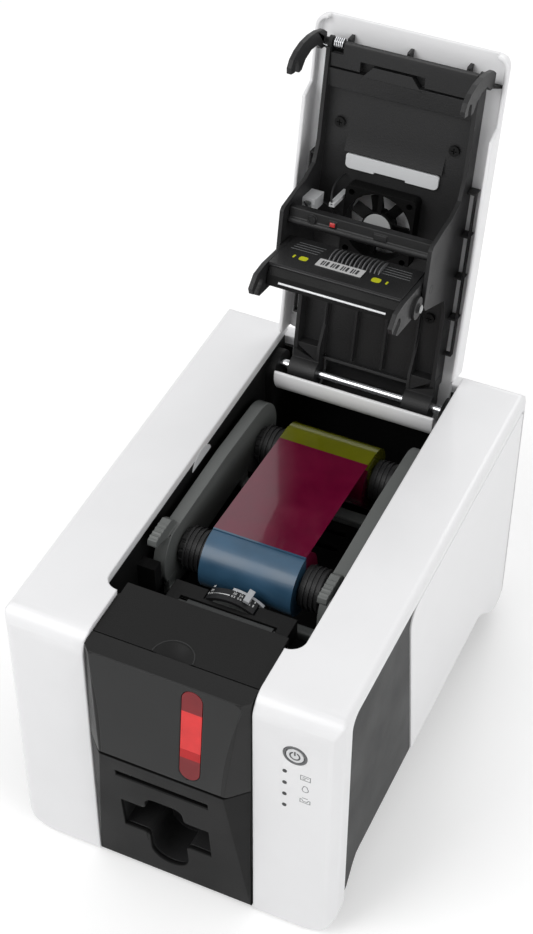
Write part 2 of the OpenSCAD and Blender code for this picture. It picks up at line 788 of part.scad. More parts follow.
module feeder_door() {
    barrel = moulding - 0.35;
    color(body_black) {
        difference() {
            door_form(0, nose_z + door_gap, deck_z);
            difference() {
                door_form(moulding, nose_z - 1, deck_z - moulding);
                // barrel along the lower edge
                rod_x(-nose_half, nose_half, door_pivot_y, door_pivot_z, barrel);
            }
            // the lower edge is round, so that it turns over the bezel
            along_x(-60, 60) difference() {
                translate([door_pivot_y - 20, nose_z - 1]) square([20, door_pivot_z - nose_z + 1]);
                translate([door_pivot_y, door_pivot_z]) circle(door_pivot_z - nose_z - door_gap);
            }
            both_sides() {
                rod_x(knuckle_x - knuckle_w / 2 - seat, knuckle_x + knuckle_w / 2 + seat,
                    door_pivot_y, door_pivot_z, knuckle_r + seat);
                along_x(knuckle_x - knuckle_w / 2 - seat, knuckle_x + knuckle_w / 2 + seat)
                    translate([door_pivot_y, nose_z - 1]) square([6, 7]);
                rod_x(knuckle_x - 9, knuckle_x + 9, door_pivot_y, door_pivot_z, door_pin_r + 0.01);
            }
            along_y(-200, front_y + 10) window_outline(0.3);
        }
        // strip on the top, as wide as the deck behind the corners of the face
        box([-module_half, front_y + 2, deck_z - moulding], [module_half, door_seam_y - 0.4, deck_z]);
        box([-door_top_half - 2, face_at(deck_z) + 2, deck_z - moulding], [door_top_half + 2, door_seam_y - 0.4, deck_z]);
        // ribs
        for (x = [-30, 0]) along_x(x - 1, x + 1) polygon([[face_at(deck_z) + 2, deck_z - 1], [door_seam_y - 3, deck_z - 1],
            [door_seam_y - 3, deck_z - 6], [face_at(deck_z - 26) + 2.5, deck_z - 26]]);
    }
}

module door_pins() {
    color(steel) both_sides()
        rod_x(knuckle_x - 8, knuckle_x + 8, door_pivot_y, door_pivot_z, door_pin_r);
}

module level_window() {
    color([0.86, 0.2, 0.2]) difference() {
        intersection() {
            door_form(0.3, nose_z + 1, deck_z);
            along_y(-200, front_y + 10) window_outline(0);
        }
        door_form(moulding - 0.2, nose_z - 1, deck_z + 10);
    }
}

module top_deck() {
    color(body_black) difference() {
        union() {
            box([-module_half, door_seam_y, deck_z - wall], [module_half, bay_front, deck_z]);
            box([-module_half + 0.9, bay_front - 1, deck_z - wall], [module_half - 0.9, deck_rear + wall, deck_z]);
            // drop wall down to the platform
            box([-module_half + 0.9, deck_rear, platform_z - 14], [module_half - 0.9, deck_rear + wall, deck_z]);
            box([-platform_half, deck_rear, platform_z - wall], [platform_half, platform_rear, platform_z]);
            both_sides() box([platform_half - wall, deck_rear, platform_z - 14], [platform_half, platform_rear, platform_z]);
            // legs under the front edge
            both_sides() box([module_half - wall, door_seam_y + 2, deck_z - 24], [module_half, bay_front, deck_z]);
            // bearings of the cleaning roller
            both_sides() box([roller_half - 1, slot_y - 3, platform_z - 7], [roller_half + 3, slot_y + 3, platform_z]);
            // floor under the finger scoop
            intersection() {
                translate([scoop_x, door_seam_y, deck_z - 7]) cylinder(r = scoop_r + 2.5, h = 6);
                box([-60, door_seam_y, 0], [60, 0, 300]);
            }
        }
        // half-moon finger scoop behind the door
        translate([scoop_x, door_seam_y - 1, deck_z + scoop_ball - scoop_depth]) sphere(r = scoop_ball);
        // slot of the cleaning roller
        box([-roller_half + 0.4, slot_y - 3.2, platform_z - 20], [roller_half - 0.4, slot_y + 3.2, platform_z + 1]);
        rod_x(-roller_half - 1.5, roller_half + 1.5, slot_y, platform_z - 2, 1.2 + play);
        box([gauge_x - gauge_half - 1, -scale_d + platform_rear + 1.6, platform_z - 20],
            [gauge_x + gauge_half + 1, platform_rear + 1, platform_z + 1]);
    }
}

slot_y = -74;
scoop_x = -2;
scoop_r = 12;
scoop_depth = 4.5;
scoop_ball = (scoop_r * scoop_r + scoop_depth * scoop_depth) / (2 * scoop_depth);

module cleaning_roller() {
    color([0.2, 0.2, 0.2]) {
        rod_x(-25, 29, slot_y, platform_z - 2, 2.6);
        rod_x(-roller_half - 1, roller_half + 1, slot_y, platform_z - 2, 1.2);
    }
}

// part of a ring around the gauge axis, from the angle a0 to a1 off the vertical
module gauge_arc(r0, r1, a0, a1, y0, y1) {
    along_y(y0, y1) translate([gauge_x, gauge_axis_z]) intersection() {
        difference() {
            circle(r1);
            circle(r0);
        }
        polygon(concat([[0, 0]], [for (i = [0:6]) let (a = a0 + (a1 - a0) * i / 6) [2 * r1 * sin(a), 2 * r1 * cos(a)]]));
    }
}

module thickness_scale() {
    half = asin(gauge_half / gauge_r);
    color([0.3, 0.3, 0.31]) {
        gauge_arc(gauge_r - 2, gauge_r, -half, half, -scale_d + platform_rear + 2, platform_rear + 1.6);
        // feet of the scale beside the slot, and the rail that guides the lever
        for (s = [-1, 1]) box([gauge_x + s * (gauge_half - 1.2) - 1.2, -scale_d + platform_rear + 2, platform_z - 6],
            [gauge_x + s * (gauge_half - 1.2) + 1.2, platform_rear + 1.6, platform_z + 0.1]);
        gauge_arc(gauge_r - 5.3, gauge_r - 3.3, -half, half, platform_rear - 2, platform_rear + 4.5);
        gauge_arc(gauge_r - 5.3, gauge_r - 0.5, -half, half, platform_rear - 1, platform_rear + 1);
    }
}

module gauge_lever() {
    color([0.62, 0.63, 0.64]) {
        gauge_arc(gauge_r - 3, gauge_r - 0.2, lever_at - 22, lever_at + 22, platform_rear + 1.9, platform_rear + 1.9 + lever_t);
        gauge_arc(gauge_r - 0.3, gauge_r + 2.6, lever_at - 3.6, lever_at + 3.6, platform_rear + 1.9, platform_rear + 5.5);
        gauge_arc(gauge_r + 0.4, gauge_r + 2.6, lever_at - 3.6, lever_at + 3.6, platform_rear - 4, platform_rear + 5.5);
    }
}

module power_button() {
    color([0.8, 0.82, 0.85]) {
        rod_y(front_y - 0.3, front_y + 4, button_x, button_z, button_d / 2);
        rod_y(front_y + wall + seat, front_y + 4, button_x, button_z, button_d / 2 + 1.6);
        rod_y(front_y + 3, front_y + 6.2 - button_travel, button_x, button_z, 1.6);
    }
}

button_travel = 1.2;

module led_lenses() {
    color([0.75, 0.8, 0.75]) for (i = [0:3])
        rod_y(front_y - 0.2, front_y + 6, led_x, led_top_z - i * led_pitch, 1.3);
}

module button_board() {
    color([0.1, 0.35, 0.2]) {
        box([led_x - 6, front_y + 6.4, led_top_z - 3.5 * led_pitch], [button_x + 9, front_y + 8, button_z + 9]);
        for (z = [led_top_z - 3.3 * led_pitch, button_z + 6], x = [button_x + 7.2])
            rod_y(front_y + wall + 0.1, front_y + 7, x, z, 1.3);
    }
}

// ---------- card path ----------

module rubber_sleeve(half, y, z, r) {
    color(rubber_black) difference() {
        rod_x(-half, half, y, z, r);
        rod_x(-half - 1, half + 1, y, z, axle_d / 2 + 0.02);
    }
}

module geared_shaft(n, phase, y, z) {
    color(gear_white) {
        along_x(-gear_x - gear_w, -gear_x) translate([y, z]) gear_outline(n, phase);
        rod_x(-gear_x - gear_w, bay_wall_out + 3, y, z, axle_d / 2);
    }
}

module feed_roller() {
    rubber_sleeve(15, feed_y, feed_z, feed_roll_r);
}

module feed_gear() {
    geared_shaft(platen_n, feed_phase, feed_y, feed_z);
}

module transport_roller() {
    rubber_sleeve(roller_half - 5, transport_y, transport_z, transport_roll_r);
}

module transport_gear() {
    geared_shaft(transport_n, transport_phase, transport_y, transport_z);
}

module platen_roller() {
    rubber_sleeve(roller_half, print_y, platen_z, platen_d / 2);
}

module platen_axle() {
    color(steel) rod_x(-axle_end, bay_wall_out + 3, print_y, platen_z, axle_d / 2);
}

module platen_gear() {
    color(gear_white) drive_gear(platen_n, platen_phase, print_y, platen_z, axle_d / 2 + 0.02);
}

module front_idler() {
    color(gear_white) drive_gear(idler_n, front_idler_phase, front_idler_y, front_idler_z, idler_pin_r + play);
}

module rear_idler() {
    color(gear_white) drive_gear(idler_n, rear_idler_phase, rear_idler_y, rear_idler_z, idler_pin_r + play);
}

module motor_pinion() {
    color(gear_white) {
        along_x(-gear_x - gear_w, -gear_x) translate([pinion_y, pinion_z]) gear_outline(pinion_n, pinion_phase);
        rod_x(-gear_x - gear_w - 3.1, -gear_x, pinion_y, pinion_z, 1.5);
    }
}

// ---------- ribbon cassette ----------

// outline in Y and Z of an arm, shrunk by d
module arm_outline(d) {
    difference() {
        intersection() {
            hull() {
                translate([supply_y, supply_z]) circle(arm_r - d);
                translate([takeup_y, takeup_z]) circle(25 - d);
            }
            translate([-200, 0]) square([400, body_h - 13 - d]);
        }
        translate([takeup_y + 18 - d, 100]) rounded(supply_y - takeup_y - 36 + 2 * d, body_h - 50 - 100 + d, 8);
    }
}

module arm_shape() {
    difference() {
        union() {
            difference() {
                along_x(arm_in, arm_out) arm_outline(0);
                along_x(arm_in + arm_skin, arm_out + 1) arm_outline(arm_skin);
            }
            for (a = [[supply_y, supply_z], [takeup_y, takeup_z]]) rod_x(arm_in, arm_out - 1, a[0], a[1], gudgeon_r + 4);
            // finger tab
            along_x(arm_in + 2, arm_out) polygon([[-46, body_h - 15], [-57, body_h - 11], [-61, body_h - 11], [-62, body_h - 9],
                [-61, body_h - 5.5], [-42, body_h - 5], [-38, body_h - 8], [-34, body_h - 15]]);
            // grip ridges
            for (y = [-59, -55.5, -52, -48.5]) along_x(arm_in + 2, arm_out)
                polygon([[y, body_h - 6], [y + 0.4, body_h - 4.6], [y + 1.4, body_h - 4.6], [y + 1.8, body_h - 6]]);
        }
        for (a = [[supply_y, supply_z], [takeup_y, takeup_z]]) rod_x(arm_in - 1, arm_out + 1, a[0], a[1], gudgeon_r + play);
    }
}

module cassette_frame() {
    color(cassette_grey) {
        both_sides() arm_shape();
        // cross bars under the film
        along_x(-arm_in - 0.5, arm_in + 0.5) {
            difference() {
                translate([47.5, body_h - 61]) rounded(9, 6.5, 2);
                translate([49.5, body_h - 62]) square([5, 5]);
            }
            difference() {
                translate([-53.5, body_h - 56.5]) rounded(7, 6.5, 2);
                translate([-51.7, body_h - 57.5]) square([3.4, 5]);
            }
        }
        both_sides() {
            along_x(arm_in - 0.5, arm_in + arm_skin) polygon([[47.5, body_h - 55], [56.5, body_h - 61], [56.5, body_h - 50], [47.5, body_h - 50]]);
            along_x(arm_in - 0.5, arm_in + arm_skin) polygon([[-53.5, body_h - 56.5], [-45, body_h - 56.5], [-43, body_h - 46], [-53, body_h - 44]]);
        }
    }
}

// tangent line over the two rolls, at the distance d from them
film_tilt = atan2(takeup_z + takeup_r - supply_z - supply_r, takeup_y - supply_y);

module ribbon_film() {
    n = [sin(film_tilt), -cos(film_tilt)];
    a = [supply_y, supply_z] + (supply_r + 0.3) * n;
    b = [takeup_y, takeup_z] + (takeup_r + 0.3) * n;
    color([0.35, 0.1, 0.3]) along_x(-film_w / 2, film_w / 2) polygon([a, b, b + film_t * n, a + film_t * n]);
}

module spool(y, z) {
    rod_x(-arm_in + 0.3, arm_in - 0.3, y, z, core_r);
    both_sides() {
        // drum beside the film, with four rings
        rod_x(film_w / 2 + 1.3, arm_in - 4.6, y, z, flange_r - 0.8);
        for (i = [0:3]) rod_x(33 + i * 3, 34.2 + i * 3, y, z, flange_r);
        along_x(arm_in - 5, arm_in - 1.4) translate([y, z]) difference() {
            circle(11);
            for (i = [0:11]) rotate(i * 30) translate([11.4, 0]) circle(1.2);
        }
        rod_x(arm_in - 2, arm_in + 5, y, z, gudgeon_r);
    }
}

module supply_spool() {
    color([0.14, 0.14, 0.15]) spool(supply_y, supply_z);
}

module takeup_spool() {
    color([0.14, 0.14, 0.15]) spool(takeup_y, takeup_z);
}

module roll_of(y, z, r) {
    difference() {
        rod_x(-film_w / 2, film_w / 2, y, z, r);
        rod_x(-film_w, film_w, y, z, core_r + 0.02);
    }
}

module supply_roll() {
    color([0.55, 0.55, 0.12]) roll_of(supply_y, supply_z, supply_r);
}

module takeup_roll() {
    color([0.2, 0.32, 0.45]) roll_of(takeup_y, takeup_z, takeup_r);
}

// ---------- lid ----------

// outline in X and Y of the lid, shrunk by d
module lid_outline(d) {
    translate([-lid_half + d, lid_front + d])
        cornered(2 * (lid_half - d), lid_wide_end - lid_front - 2 * d, [8 - d, 8 - d, 5 - min(d, 4), 5 - min(d, 4)]);
}

module lid_cover() {
    color(shell_white) opened() difference() {
        union() {
            intersection() {
                along_z(hinge_z - 1, body_h) lid_outline(0);
                along_y(-300, 300) translate([-lid_half, 0]) cornered(2 * lid_half, body_h, [0, 0, 4, 4]);
            }
            // tail that curls around the hinge
            along_x(-tail_half, tail_half) {
                translate([lid_wide_end - 8, body_h - wall]) square([hinge_y - lid_wide_end + 8, wall]);
                translate([hinge_y, hinge_z]) difference() {
                    circle(tail_r);
                    circle(tail_r - wall);
                    polygon([[0, 30], [-30, 30], [-30, -30], [-4, -30], [0, 0]]);
                }
            }
            for (s = [-1, 1]) {
                rod_z(body_h - 7.5, body_h - 1, s * 53, -98, 4.2);
                rod_z(body_h - 4.5, body_h - 1, s * 52, 94, 4);
            }
        }
        // hollow under the top, with a thin rim in front of the step
        intersection() {
            along_z(hinge_z - 5, body_h - wall) lid_outline(wall);
            along_y(-300, 300) translate([-lid_half + wall, 0])
                cornered(2 * (lid_half - wall), body_h - wall, [0, 0, 1.5, 1.5]);
        }
        along_x(-100, 100) polygon([[-200, hinge_z - 5], [-200, body_h - 7], [lid_step_y - 6, body_h - 7],
            [lid_step_y, hinge_z - 1], [lid_step_y, hinge_z - 5]]);
        box([-lid_half + 8, -200, 0], [lid_half - 8, lid_front + 10, body_h - wall]);
        box([-lid_half + wall, lid_wide_end - 10, 0], [lid_half - wall, lid_wide_end + 1, body_h - wall]);
    }
}

module rod_z(z0, z1, x, y, r) {
    translate([x, y, z0]) cylinder(r = r, h = z1 - z0);
}

module cheek() {
    along_x(cheek_in, cheek_out) difference() {
        union() {
            polygon([[-91, latch_z + 7], [-91, latch_z - 5], [-33, body_h - 17], [-20, body_h - 21], [-14, body_h - 33],
                [-12, body_h - 45], [-8, body_h - 63], [-6, body_h - 65], [30, body_h - 65], [34, body_h - 61],
                [44, body_h - 25], [56, body_h - 19], [108, body_h - 19], [112, body_h - 14], [112, body_h - 3.2],
                [-80, body_h - 3.2]]);
            translate([latch_y, latch_z]) circle(3.5);
            translate([latch_y, latch_z - 3.5]) square([4, 7]);
        }
        translate([latch_y, latch_z]) circle(latch_rod_r + play);
        translate([head_y, head_z]) circle(head_pin_r + play);
    }
}

// top of the ribs, which meet the cover's underside
rib_top = body_h - wall - 0.4;
rib_reach = cheek_out + 5.5;
rib_foot = cheek_out + 0.05;
band_y = -78.5;
guard_r = 12.2;
head_y = 22;
head_z = body_h - 56;
head_pin_r = 2.5;
knuckle_in = 29.5;
knuckle_end = cheek_out + 0.3;

module lid_frame() {
    color(frame_black) opened() difference() {
        union() {
            box([-cheek_out, frame_front, lid_floor], [cheek_out, hinge_y - 12, lid_floor + floor_t]);
            both_sides() {
                cheek();
                // arm and knuckle of the hinge
                along_x(knuckle_in, knuckle_end) {
                    translate([hinge_y, hinge_z]) circle(knuckle_out);
                    translate([hinge_y - 20, lid_floor - 8]) square([20, 10]);
                }
                along_x(knuckle_in, knuckle_in + 2) polygon([[hinge_y - 50, lid_floor + 1], [hinge_y - 10, lid_floor + 1],
                    [hinge_y - 10, lid_floor - 9], [hinge_y - 20, lid_floor - 9]]);
                // tapered side fins, and the ladder of ribs between the cheek and the cover's side, both
                // clipped on beside the cheek
                along_y(frame_front + 2, frame_front + 4) polygon([[rib_foot, lid_floor + 1],
                    [cheek_out + 1, lid_floor + 1], [lid_half - 3.2, rib_top - 1], [lid_half - 3.2, rib_top], [rib_foot, rib_top]]);
                for (y = [-22, 6, 34, 62]) box([rib_foot, y, lid_floor - 1.5], [rib_reach, y + 1.2, rib_top]);
                box([rib_reach - 1, -22, lid_floor - 1.5], [rib_reach, 88, lid_floor + 3]);
                box([rib_foot, 86.8, lid_floor - 1.5], [rib_reach, 88, lid_floor + 3]);
            }
            // long tapered ribs against the underside of the cover
            for (x = [-36.5, 0.3, 36.7]) along_x(x - 1, x + 1) polygon([[deck_rear + wall + 1, rib_top - 0.8],
                [deck_rear + wall + 1, rib_top], [frame_front + 6, rib_top], [frame_front + 6, lid_floor + 0.5],
                [frame_front - 5, lid_floor + 0.5], [frame_front - 6, lid_floor + 1]]);
            // raised band behind the paddle, with its middle set forward
            along_x(-cheek_in - 0.5, cheek_in + 0.5) polygon([[band_y, lid_floor + 0.5], [band_y, lid_floor - 5.5],
                [band_y + 12, lid_floor - 3.5], [band_y + 13.5, lid_floor + 0.5]]);
            along_z(lid_floor - 5.5, lid_floor + 0.5) polygon([[-24, band_y + 1], [-18, band_y - 6], [6, band_y - 6],
                [12, band_y + 1]]);
            // guard behind the hinge rod, inside the curl of the cover
            along_x(-knuckle_in + 0.8, knuckle_in - 0.8) {
                translate([hinge_y, hinge_z]) intersection() {
                    difference() {
                        circle(guard_r);
                        circle(guard_r - 2);
                    }
                    polygon([[0, 0], [-30, 8], [-30, 30], [30, 30], [30, -20]]);
                }
                translate([hinge_y - 13, lid_floor]) square([3.5, floor_t]);
            }
            // slanted plate in front of the reflector
            along_x(-31, 31) polygon([[-42, lid_floor + 0.5], [-28.2, lid_floor - 2.5], [-28.2, lid_floor + 0.5]]);
            // ribs behind the fan
            for (x = [-30, -10, 10, 30]) box([x - 0.8, 42, lid_floor - 4], [x + 0.8, hinge_y - 14, lid_floor + 1]);
        }
        rod_x(-60, 60, hinge_y, hinge_z, rod_d / 2 + 0.02);
        for (p = floor_screws) rod_z(lid_floor - 2, lid_floor + 3, p[0], p[1], 1.7);
        rod_z(lid_floor - 2, lid_floor + 3, fan_x, fan_y, 21);
    }
}

floor_screws = [[-36, -45], [36, -45], [-36, 66], [36, 66]];

module lid_screws() {
    color(steel) opened() for (p = floor_screws) difference() {
        union() {
            rod_z(lid_floor - 2, lid_floor - 0.1, p[0], p[1], 3.2);
            rod_z(lid_floor - 1, lid_floor + 5, p[0], p[1], 1.5);
        }
        for (a = [0, 90]) translate([p[0], p[1], lid_floor - 2.5]) rotate(a) translate([-1.8, -0.35, 0])
            cube([3.6, 0.7, 1.5]);
    }
}

module hinge_rod() {
    color(steel) opened() rod_x(-bay_half - 1.5, bay_half + 1.5, hinge_y, hinge_z, rod_d / 2);
}

module fan_housing() {
    color([0.16, 0.16, 0.17]) opened() difference() {
        translate([fan_x - fan_w / 2, fan_y - fan_w / 2, lid_floor - seat - fan_t])
            linear_extrude(fan_t) rounded(fan_w, fan_w, 3);
        difference() {
            rod_z(0, 300, fan_x, fan_y, fan_w / 2 - 1.5);
            // hub plate and three struts
            rod_z(lid_floor - seat - fan_t, lid_floor - seat - fan_t + 1.6, fan_x, fan_y, 10);
            for (a = [30, 150, 270]) translate([fan_x, fan_y, lid_floor - seat - fan_t]) rotate(a)
                translate([0, -1.2, 0]) cube([fan_w / 2, 2.4, 1.6]);
        }
        for (x = [-1, 1], y = [-1, 1]) rod_z(0, 300, fan_x + x * fan_w * 0.41, fan_y + y * fan_w * 0.41, 1.9);
    }
}

module fan_rotor() {
    low = lid_floor - seat - fan_t + 2.1;
    color([0.22, 0.22, 0.23]) opened() {
        rod_z(low, low + fan_t - 3, fan_x, fan_y, 9.5);
        for (i = [0:fan_blades - 1]) translate([fan_x, fan_y, low + (fan_t - 3) / 2]) rotate(i * 360 / fan_blades)
            rotate([35, 0, 0]) translate([8, -3.6, -0.5]) cube([fan_w / 2 - 11.5, 7.2, 1]);
    }
}

module reflector_strip() {
    color([0.9, 0.9, 0.9]) opened() difference() {
        along_z(lid_floor - 2.2, lid_floor - seat + 0.2) translate([-29.5, strip_y - 4.6])
            cornered(59, 9.2, [1.5, 1.5, 3, 3]);
        box([-11, strip_y + 3.4, 0], [9, strip_y + 6, 300]);
    }
}

module sensor_bar() {
    color([0.2, 0.2, 0.21]) opened() {
        box([-cheek_in + 0.2, bar_y - 4.7, bar_z], [cheek_in - 0.2, bar_y + 4.7, bar_z + 6]);
        rod_x(-cheek_in + 0.2, cheek_in - 0.2, bar_y + 3.5, bar_z + 0.6, 2.4);
        rod_z(bar_z - 1.4, bar_z + 1, -30, bar_y - 0.5, 2.5);
        box([-19, bar_y - 2.5, bar_z - 1.2], [-14.5, bar_y + 1, bar_z + 1]);
        box([9, bar_y - 2.5, bar_z - 1.2], [17, bar_y + 1.5, bar_z + 1]);
    }
}

module lid_connectors() {
    slim = fan_x - fan_w / 2 - 1.3;
    color([0.88, 0.87, 0.82]) opened() {
        // plug block in two halves on the cheek
        difference() {
            box([-cheek_in + 0.2, -4, body_h - 37], [slim - 11, 4, body_h - 23]);
            box([-cheek_in + 2, -2.5, body_h - 38], [slim - 13, 2.5, body_h - 32]);
            box([-cheek_in - 1, -0.3, body_h - 38], [slim - 8, 0.3, body_h - 36]);
        }
        // slim socket that stands on the floor
        box([slim - 3.4, -3, body_h - 33], [slim, -0.5, lid_floor - seat]);
    }
}

// ---------- latch ----------

// outline in Y and Z of a hook, whose slot opens towards the hinge
module hook_outline() {
    y = latch_y;
    z = latch_z;
    difference() {
        offset(r = 1) offset(delta = -1) polygon([[y + 4.5, z + 2.4], [y - 4, z + 2.4], [y - 7, z - 3], [y - 9, z - 13],
            [y - 9.5, z - 23], [y - 8.5, z - 33], [y - 6, z - 41], [y - 2.5, z - 46.5], [y + 2, z - 49], [y + 5.7, z - 48.2],
            [y + 6.2, z - 42.5], [y + 8.4, z - 36], [y + 8, z - 32.5], [y + 3, z - 28], [y, z - 20], [y, z - 11], [y + 4.5, z - 4]]);
        hull() {
            translate([catch_y, catch_z]) circle(catch_r + 0.6);
            translate([catch_y + 16, catch_z + 2.2]) circle(catch_r + 1.1);
        }
    }
}

module lid_latch() {
    color([0.17, 0.17, 0.18]) opened() {
        rod_x(-hook_in - 0.5, hook_in + 0.5, latch_y, latch_z, latch_rod_r);
        difference() {
            along_x(-cheek_in + seat, cheek_in - seat) polygon([[latch_y - 1.8, latch_z], [latch_y - 1.8, latch_z - 3.8],
                [latch_y + 1.6, latch_z - 4.2], [paddle_end, latch_z - 3], [paddle_end, latch_z - 1.2], [latch_y + 1.6, latch_z]]);
            // room for the spring, and for the middle of the band
            box([-cheek_in - 1, latch_y - 5, latch_z - 5], [-37, latch_y + 5, latch_z + 1]);
            box([-26, band_y - 7.5, latch_z - 6], [14, paddle_end + 1, latch_z + 1]);
        }
        both_sides() along_x(hook_in, hook_in + hook_t) hook_outline();
    }
}

paddle_end = band_y - 1;

module latch_spring() {
    color(steel) opened() {
        for (i = [0:4]) translate([-38.6 - i * 1.2, latch_y, latch_z]) rotate([0, 90, 0])
            rotate_extrude() translate([latch_rod_r + 0.9, 0]) circle(0.45, $fn = 16);
        rod_x(-43.5, -38.5, latch_y, latch_z + latch_rod_r + 0.9, 0.5);
        translate([-38.6, latch_y, latch_z + latch_rod_r + 0.9]) rotate([-92, 0, 0]) cylinder(r = 0.45, h = 2.6);
    }
}

// ---------- print head ----------

module head_carrier() {
    d = [0.645, -0.764];
    color([0.13, 0.13, 0.14]) opened() {
        box([-44.4, 16, head_z - 4], [44.4, 31, head_z + 4.5]);
        // front plate with a raised bare label
        box([-41.3, 14.6, path_z + 2.4], [41.3, 16.8, head_z + 4.5]);
        box([-17, 14, path_z + 12], [12, 15, path_z + 22]);
        for (i = [0:5]) along_x(-11 + i * 5.6, -9.6 + i * 5.6) polygon([[15, path_z + 24], [12.6, path_z + 27],
            [12.2, path_z + 33], [13, path_z + 38], [15, path_z + 40]]);
        both_sides() {
            difference() {
                along_x(41.6, 44.4) difference() {
                    polygon([[15, head_z + 4.5], [31, head_z + 4.5], [33.5, path_z + 20], [33.5, path_z - 6], [28, path_z - 16],
                        [24, path_z - 18], [17, path_z - 12], [15, path_z - 1]]);
                    hull() {
                        translate([print_y, platen_z]) circle(axle_d / 2 + 0.6);
                        translate([print_y + 30 * d[0], platen_z + 30 * d[1]]) circle(axle_d / 2 + 1.4);
                    }
                }
            }
            rod_x(44, cheek_out, head_y, head_z, head_pin_r);
            // round spring caps
            rod_x(44, cheek_out - 0.9, 27, head_z - 17, 7);
            rod_x(44, cheek_out - 0.2, 27, head_z - 17, 3);
        }
    }
}

module print_head() {
    color([0.2, 0.2, 0.21]) opened() {
        along_x(-40.8, 40.8) polygon([[17.2, path_z + 12], [17.2, path_z + 4], [22, head_low + 0.3], [29, head_low + 0.3],
            [30.5, path_z + 4], [30.5, path_z + 12]]);
        along_x(-32.7, 32.7) translate([print_y + 0.6, head_low + 0.6]) circle(0.5);
    }
}

module heat_sink() {
    color([0.7, 0.71, 0.73]) opened() difference() {
        box([-40.8, 17.2, path_z + 12], [40.8, 30.5, head_z - 4.2]);
        for (i = [-6:6]) box([i * 6 - 1.6, 21, path_z + 11], [i * 6 + 1.6, 31, head_z]);
    }
}

base_tray();
rubber_feet();
left_cover();
right_cover();
left_side_panel();
right_side_panel();
left_rear_panel();
right_rear_panel();
rear_cover();
power_inlet();
usb_socket();
front_bezel();
top_deck();
thickness_scale();
left_bay_wall();
right_bay_wall();
card_guide();
card_hopper();
output_tray();
main_board();
button_board();
drive_motor();
led_lenses();
latch_pins();
feeder_door();
level_window();
door_pins();
gauge_lever();
power_button();
cleaning_roller();
feed_roller();
feed_gear();
transport_roller();
transport_gear();
platen_roller();
platen_axle();
platen_gear();
front_idler();
rear_idler();
motor_pinion();
cassette_frame();
ribbon_film();
supply_spool();
supply_roll();
takeup_spool();
takeup_roll();
lid_cover();
lid_frame();
hinge_rod();
fan_housing();
fan_rotor();
reflector_strip();
sensor_bar();
lid_connectors();
lid_screws();
lid_latch();
latch_spring();
head_carrier();
print_head();
heat_sink();
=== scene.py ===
import json
import math

import bmesh
import bpy
from mathutils import Matrix, Vector
from mathutils.bvhtree import BVHTree

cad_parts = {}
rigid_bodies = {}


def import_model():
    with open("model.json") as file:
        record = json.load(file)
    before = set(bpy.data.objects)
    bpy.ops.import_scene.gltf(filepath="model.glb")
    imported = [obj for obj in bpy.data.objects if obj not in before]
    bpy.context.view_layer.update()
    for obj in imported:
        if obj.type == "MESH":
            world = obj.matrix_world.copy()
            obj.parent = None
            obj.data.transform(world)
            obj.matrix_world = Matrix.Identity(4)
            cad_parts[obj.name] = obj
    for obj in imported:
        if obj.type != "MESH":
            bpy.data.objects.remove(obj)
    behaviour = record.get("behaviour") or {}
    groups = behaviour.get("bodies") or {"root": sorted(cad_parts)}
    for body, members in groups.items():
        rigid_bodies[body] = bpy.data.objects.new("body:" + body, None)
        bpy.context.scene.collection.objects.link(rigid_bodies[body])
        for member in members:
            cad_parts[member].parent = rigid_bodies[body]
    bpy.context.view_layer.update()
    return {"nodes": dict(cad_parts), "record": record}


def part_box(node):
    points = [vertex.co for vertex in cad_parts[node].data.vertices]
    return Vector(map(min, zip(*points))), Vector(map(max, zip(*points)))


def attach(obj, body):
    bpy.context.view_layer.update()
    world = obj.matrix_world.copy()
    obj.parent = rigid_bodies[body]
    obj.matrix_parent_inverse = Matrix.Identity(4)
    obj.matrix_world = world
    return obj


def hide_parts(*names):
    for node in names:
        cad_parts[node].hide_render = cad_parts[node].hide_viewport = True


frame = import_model()
nodes = frame["nodes"]
body_of_node = {n: b for b, names in frame["record"]["behaviour"]["bodies"].items() for n in names}
slot_of_node = {s["node"]: s["material_slot"] for s in frame["record"]["subparts"]}


# %% [markdown]
# ## Camera
# The camera looks down on the printer from its front right. A long lens keeps the sides nearly parallel,
# as in a product picture. The angles are set as numbers, because a Track To constraint would add a
# helper object that is not needed.
# %% Camera
camera_data = bpy.data.cameras.new("camera")
camera_data.lens = 75.91
camera_data.sensor_width = 36
camera_data.sensor_fit = "AUTO"
camera_data.clip_end = 20
camera = bpy.data.objects.new("camera", camera_data)
camera.location = (0.33365, -0.74956, 0.99812)
camera.rotation_euler = (0.80818692, -0.00242855, 0.43114019)
bpy.context.scene.collection.objects.link(camera)
bpy.context.scene.camera = camera
bpy.context.scene.view_settings.view_transform = "Standard"
print("camera at", [round(v, 3) for v in camera.location])


# %% [markdown]
# ## Building with nodes
# Every finish below is a small tree of nodes. In the shader editor a node is added, its fields are typed in
# and its sockets are joined by hand. These helpers do the same three steps in one line each.
# %% Helpers for nodes
def fill(tree, node, inputs):
    """Gives each named socket of a node a plain value, or joins it to the output of another node."""
    for socket, value in inputs.items():
        if isinstance(value, bpy.types.NodeSocket):
            tree.links.new(value, node.inputs[socket])
        else:
            node.inputs[socket].default_value = value


def add_node(tree, kind, inputs=None, **settings):
    """A new node with its settings made and its sockets filled."""
    node = tree.nodes.new("ShaderNode" + kind)
    for setting, value in settings.items():
        setattr(node, setting, value)
    fill(tree, node, inputs or {})
    return node


def math_node(tree, operation, *values, clamp=False):
    """The result of a math node whose inputs are numbers or the outputs of other nodes."""
    return add_node(tree, "Math", dict(enumerate(values)), operation=operation, use_clamp=clamp).outputs[0]


def new_finish(name):
    """A new material, with its tree and its shader."""
    paint = bpy.data.materials.new(name)
    paint.use_nodes = True
    return paint, paint.node_tree, paint.node_tree.nodes["Principled BSDF"]


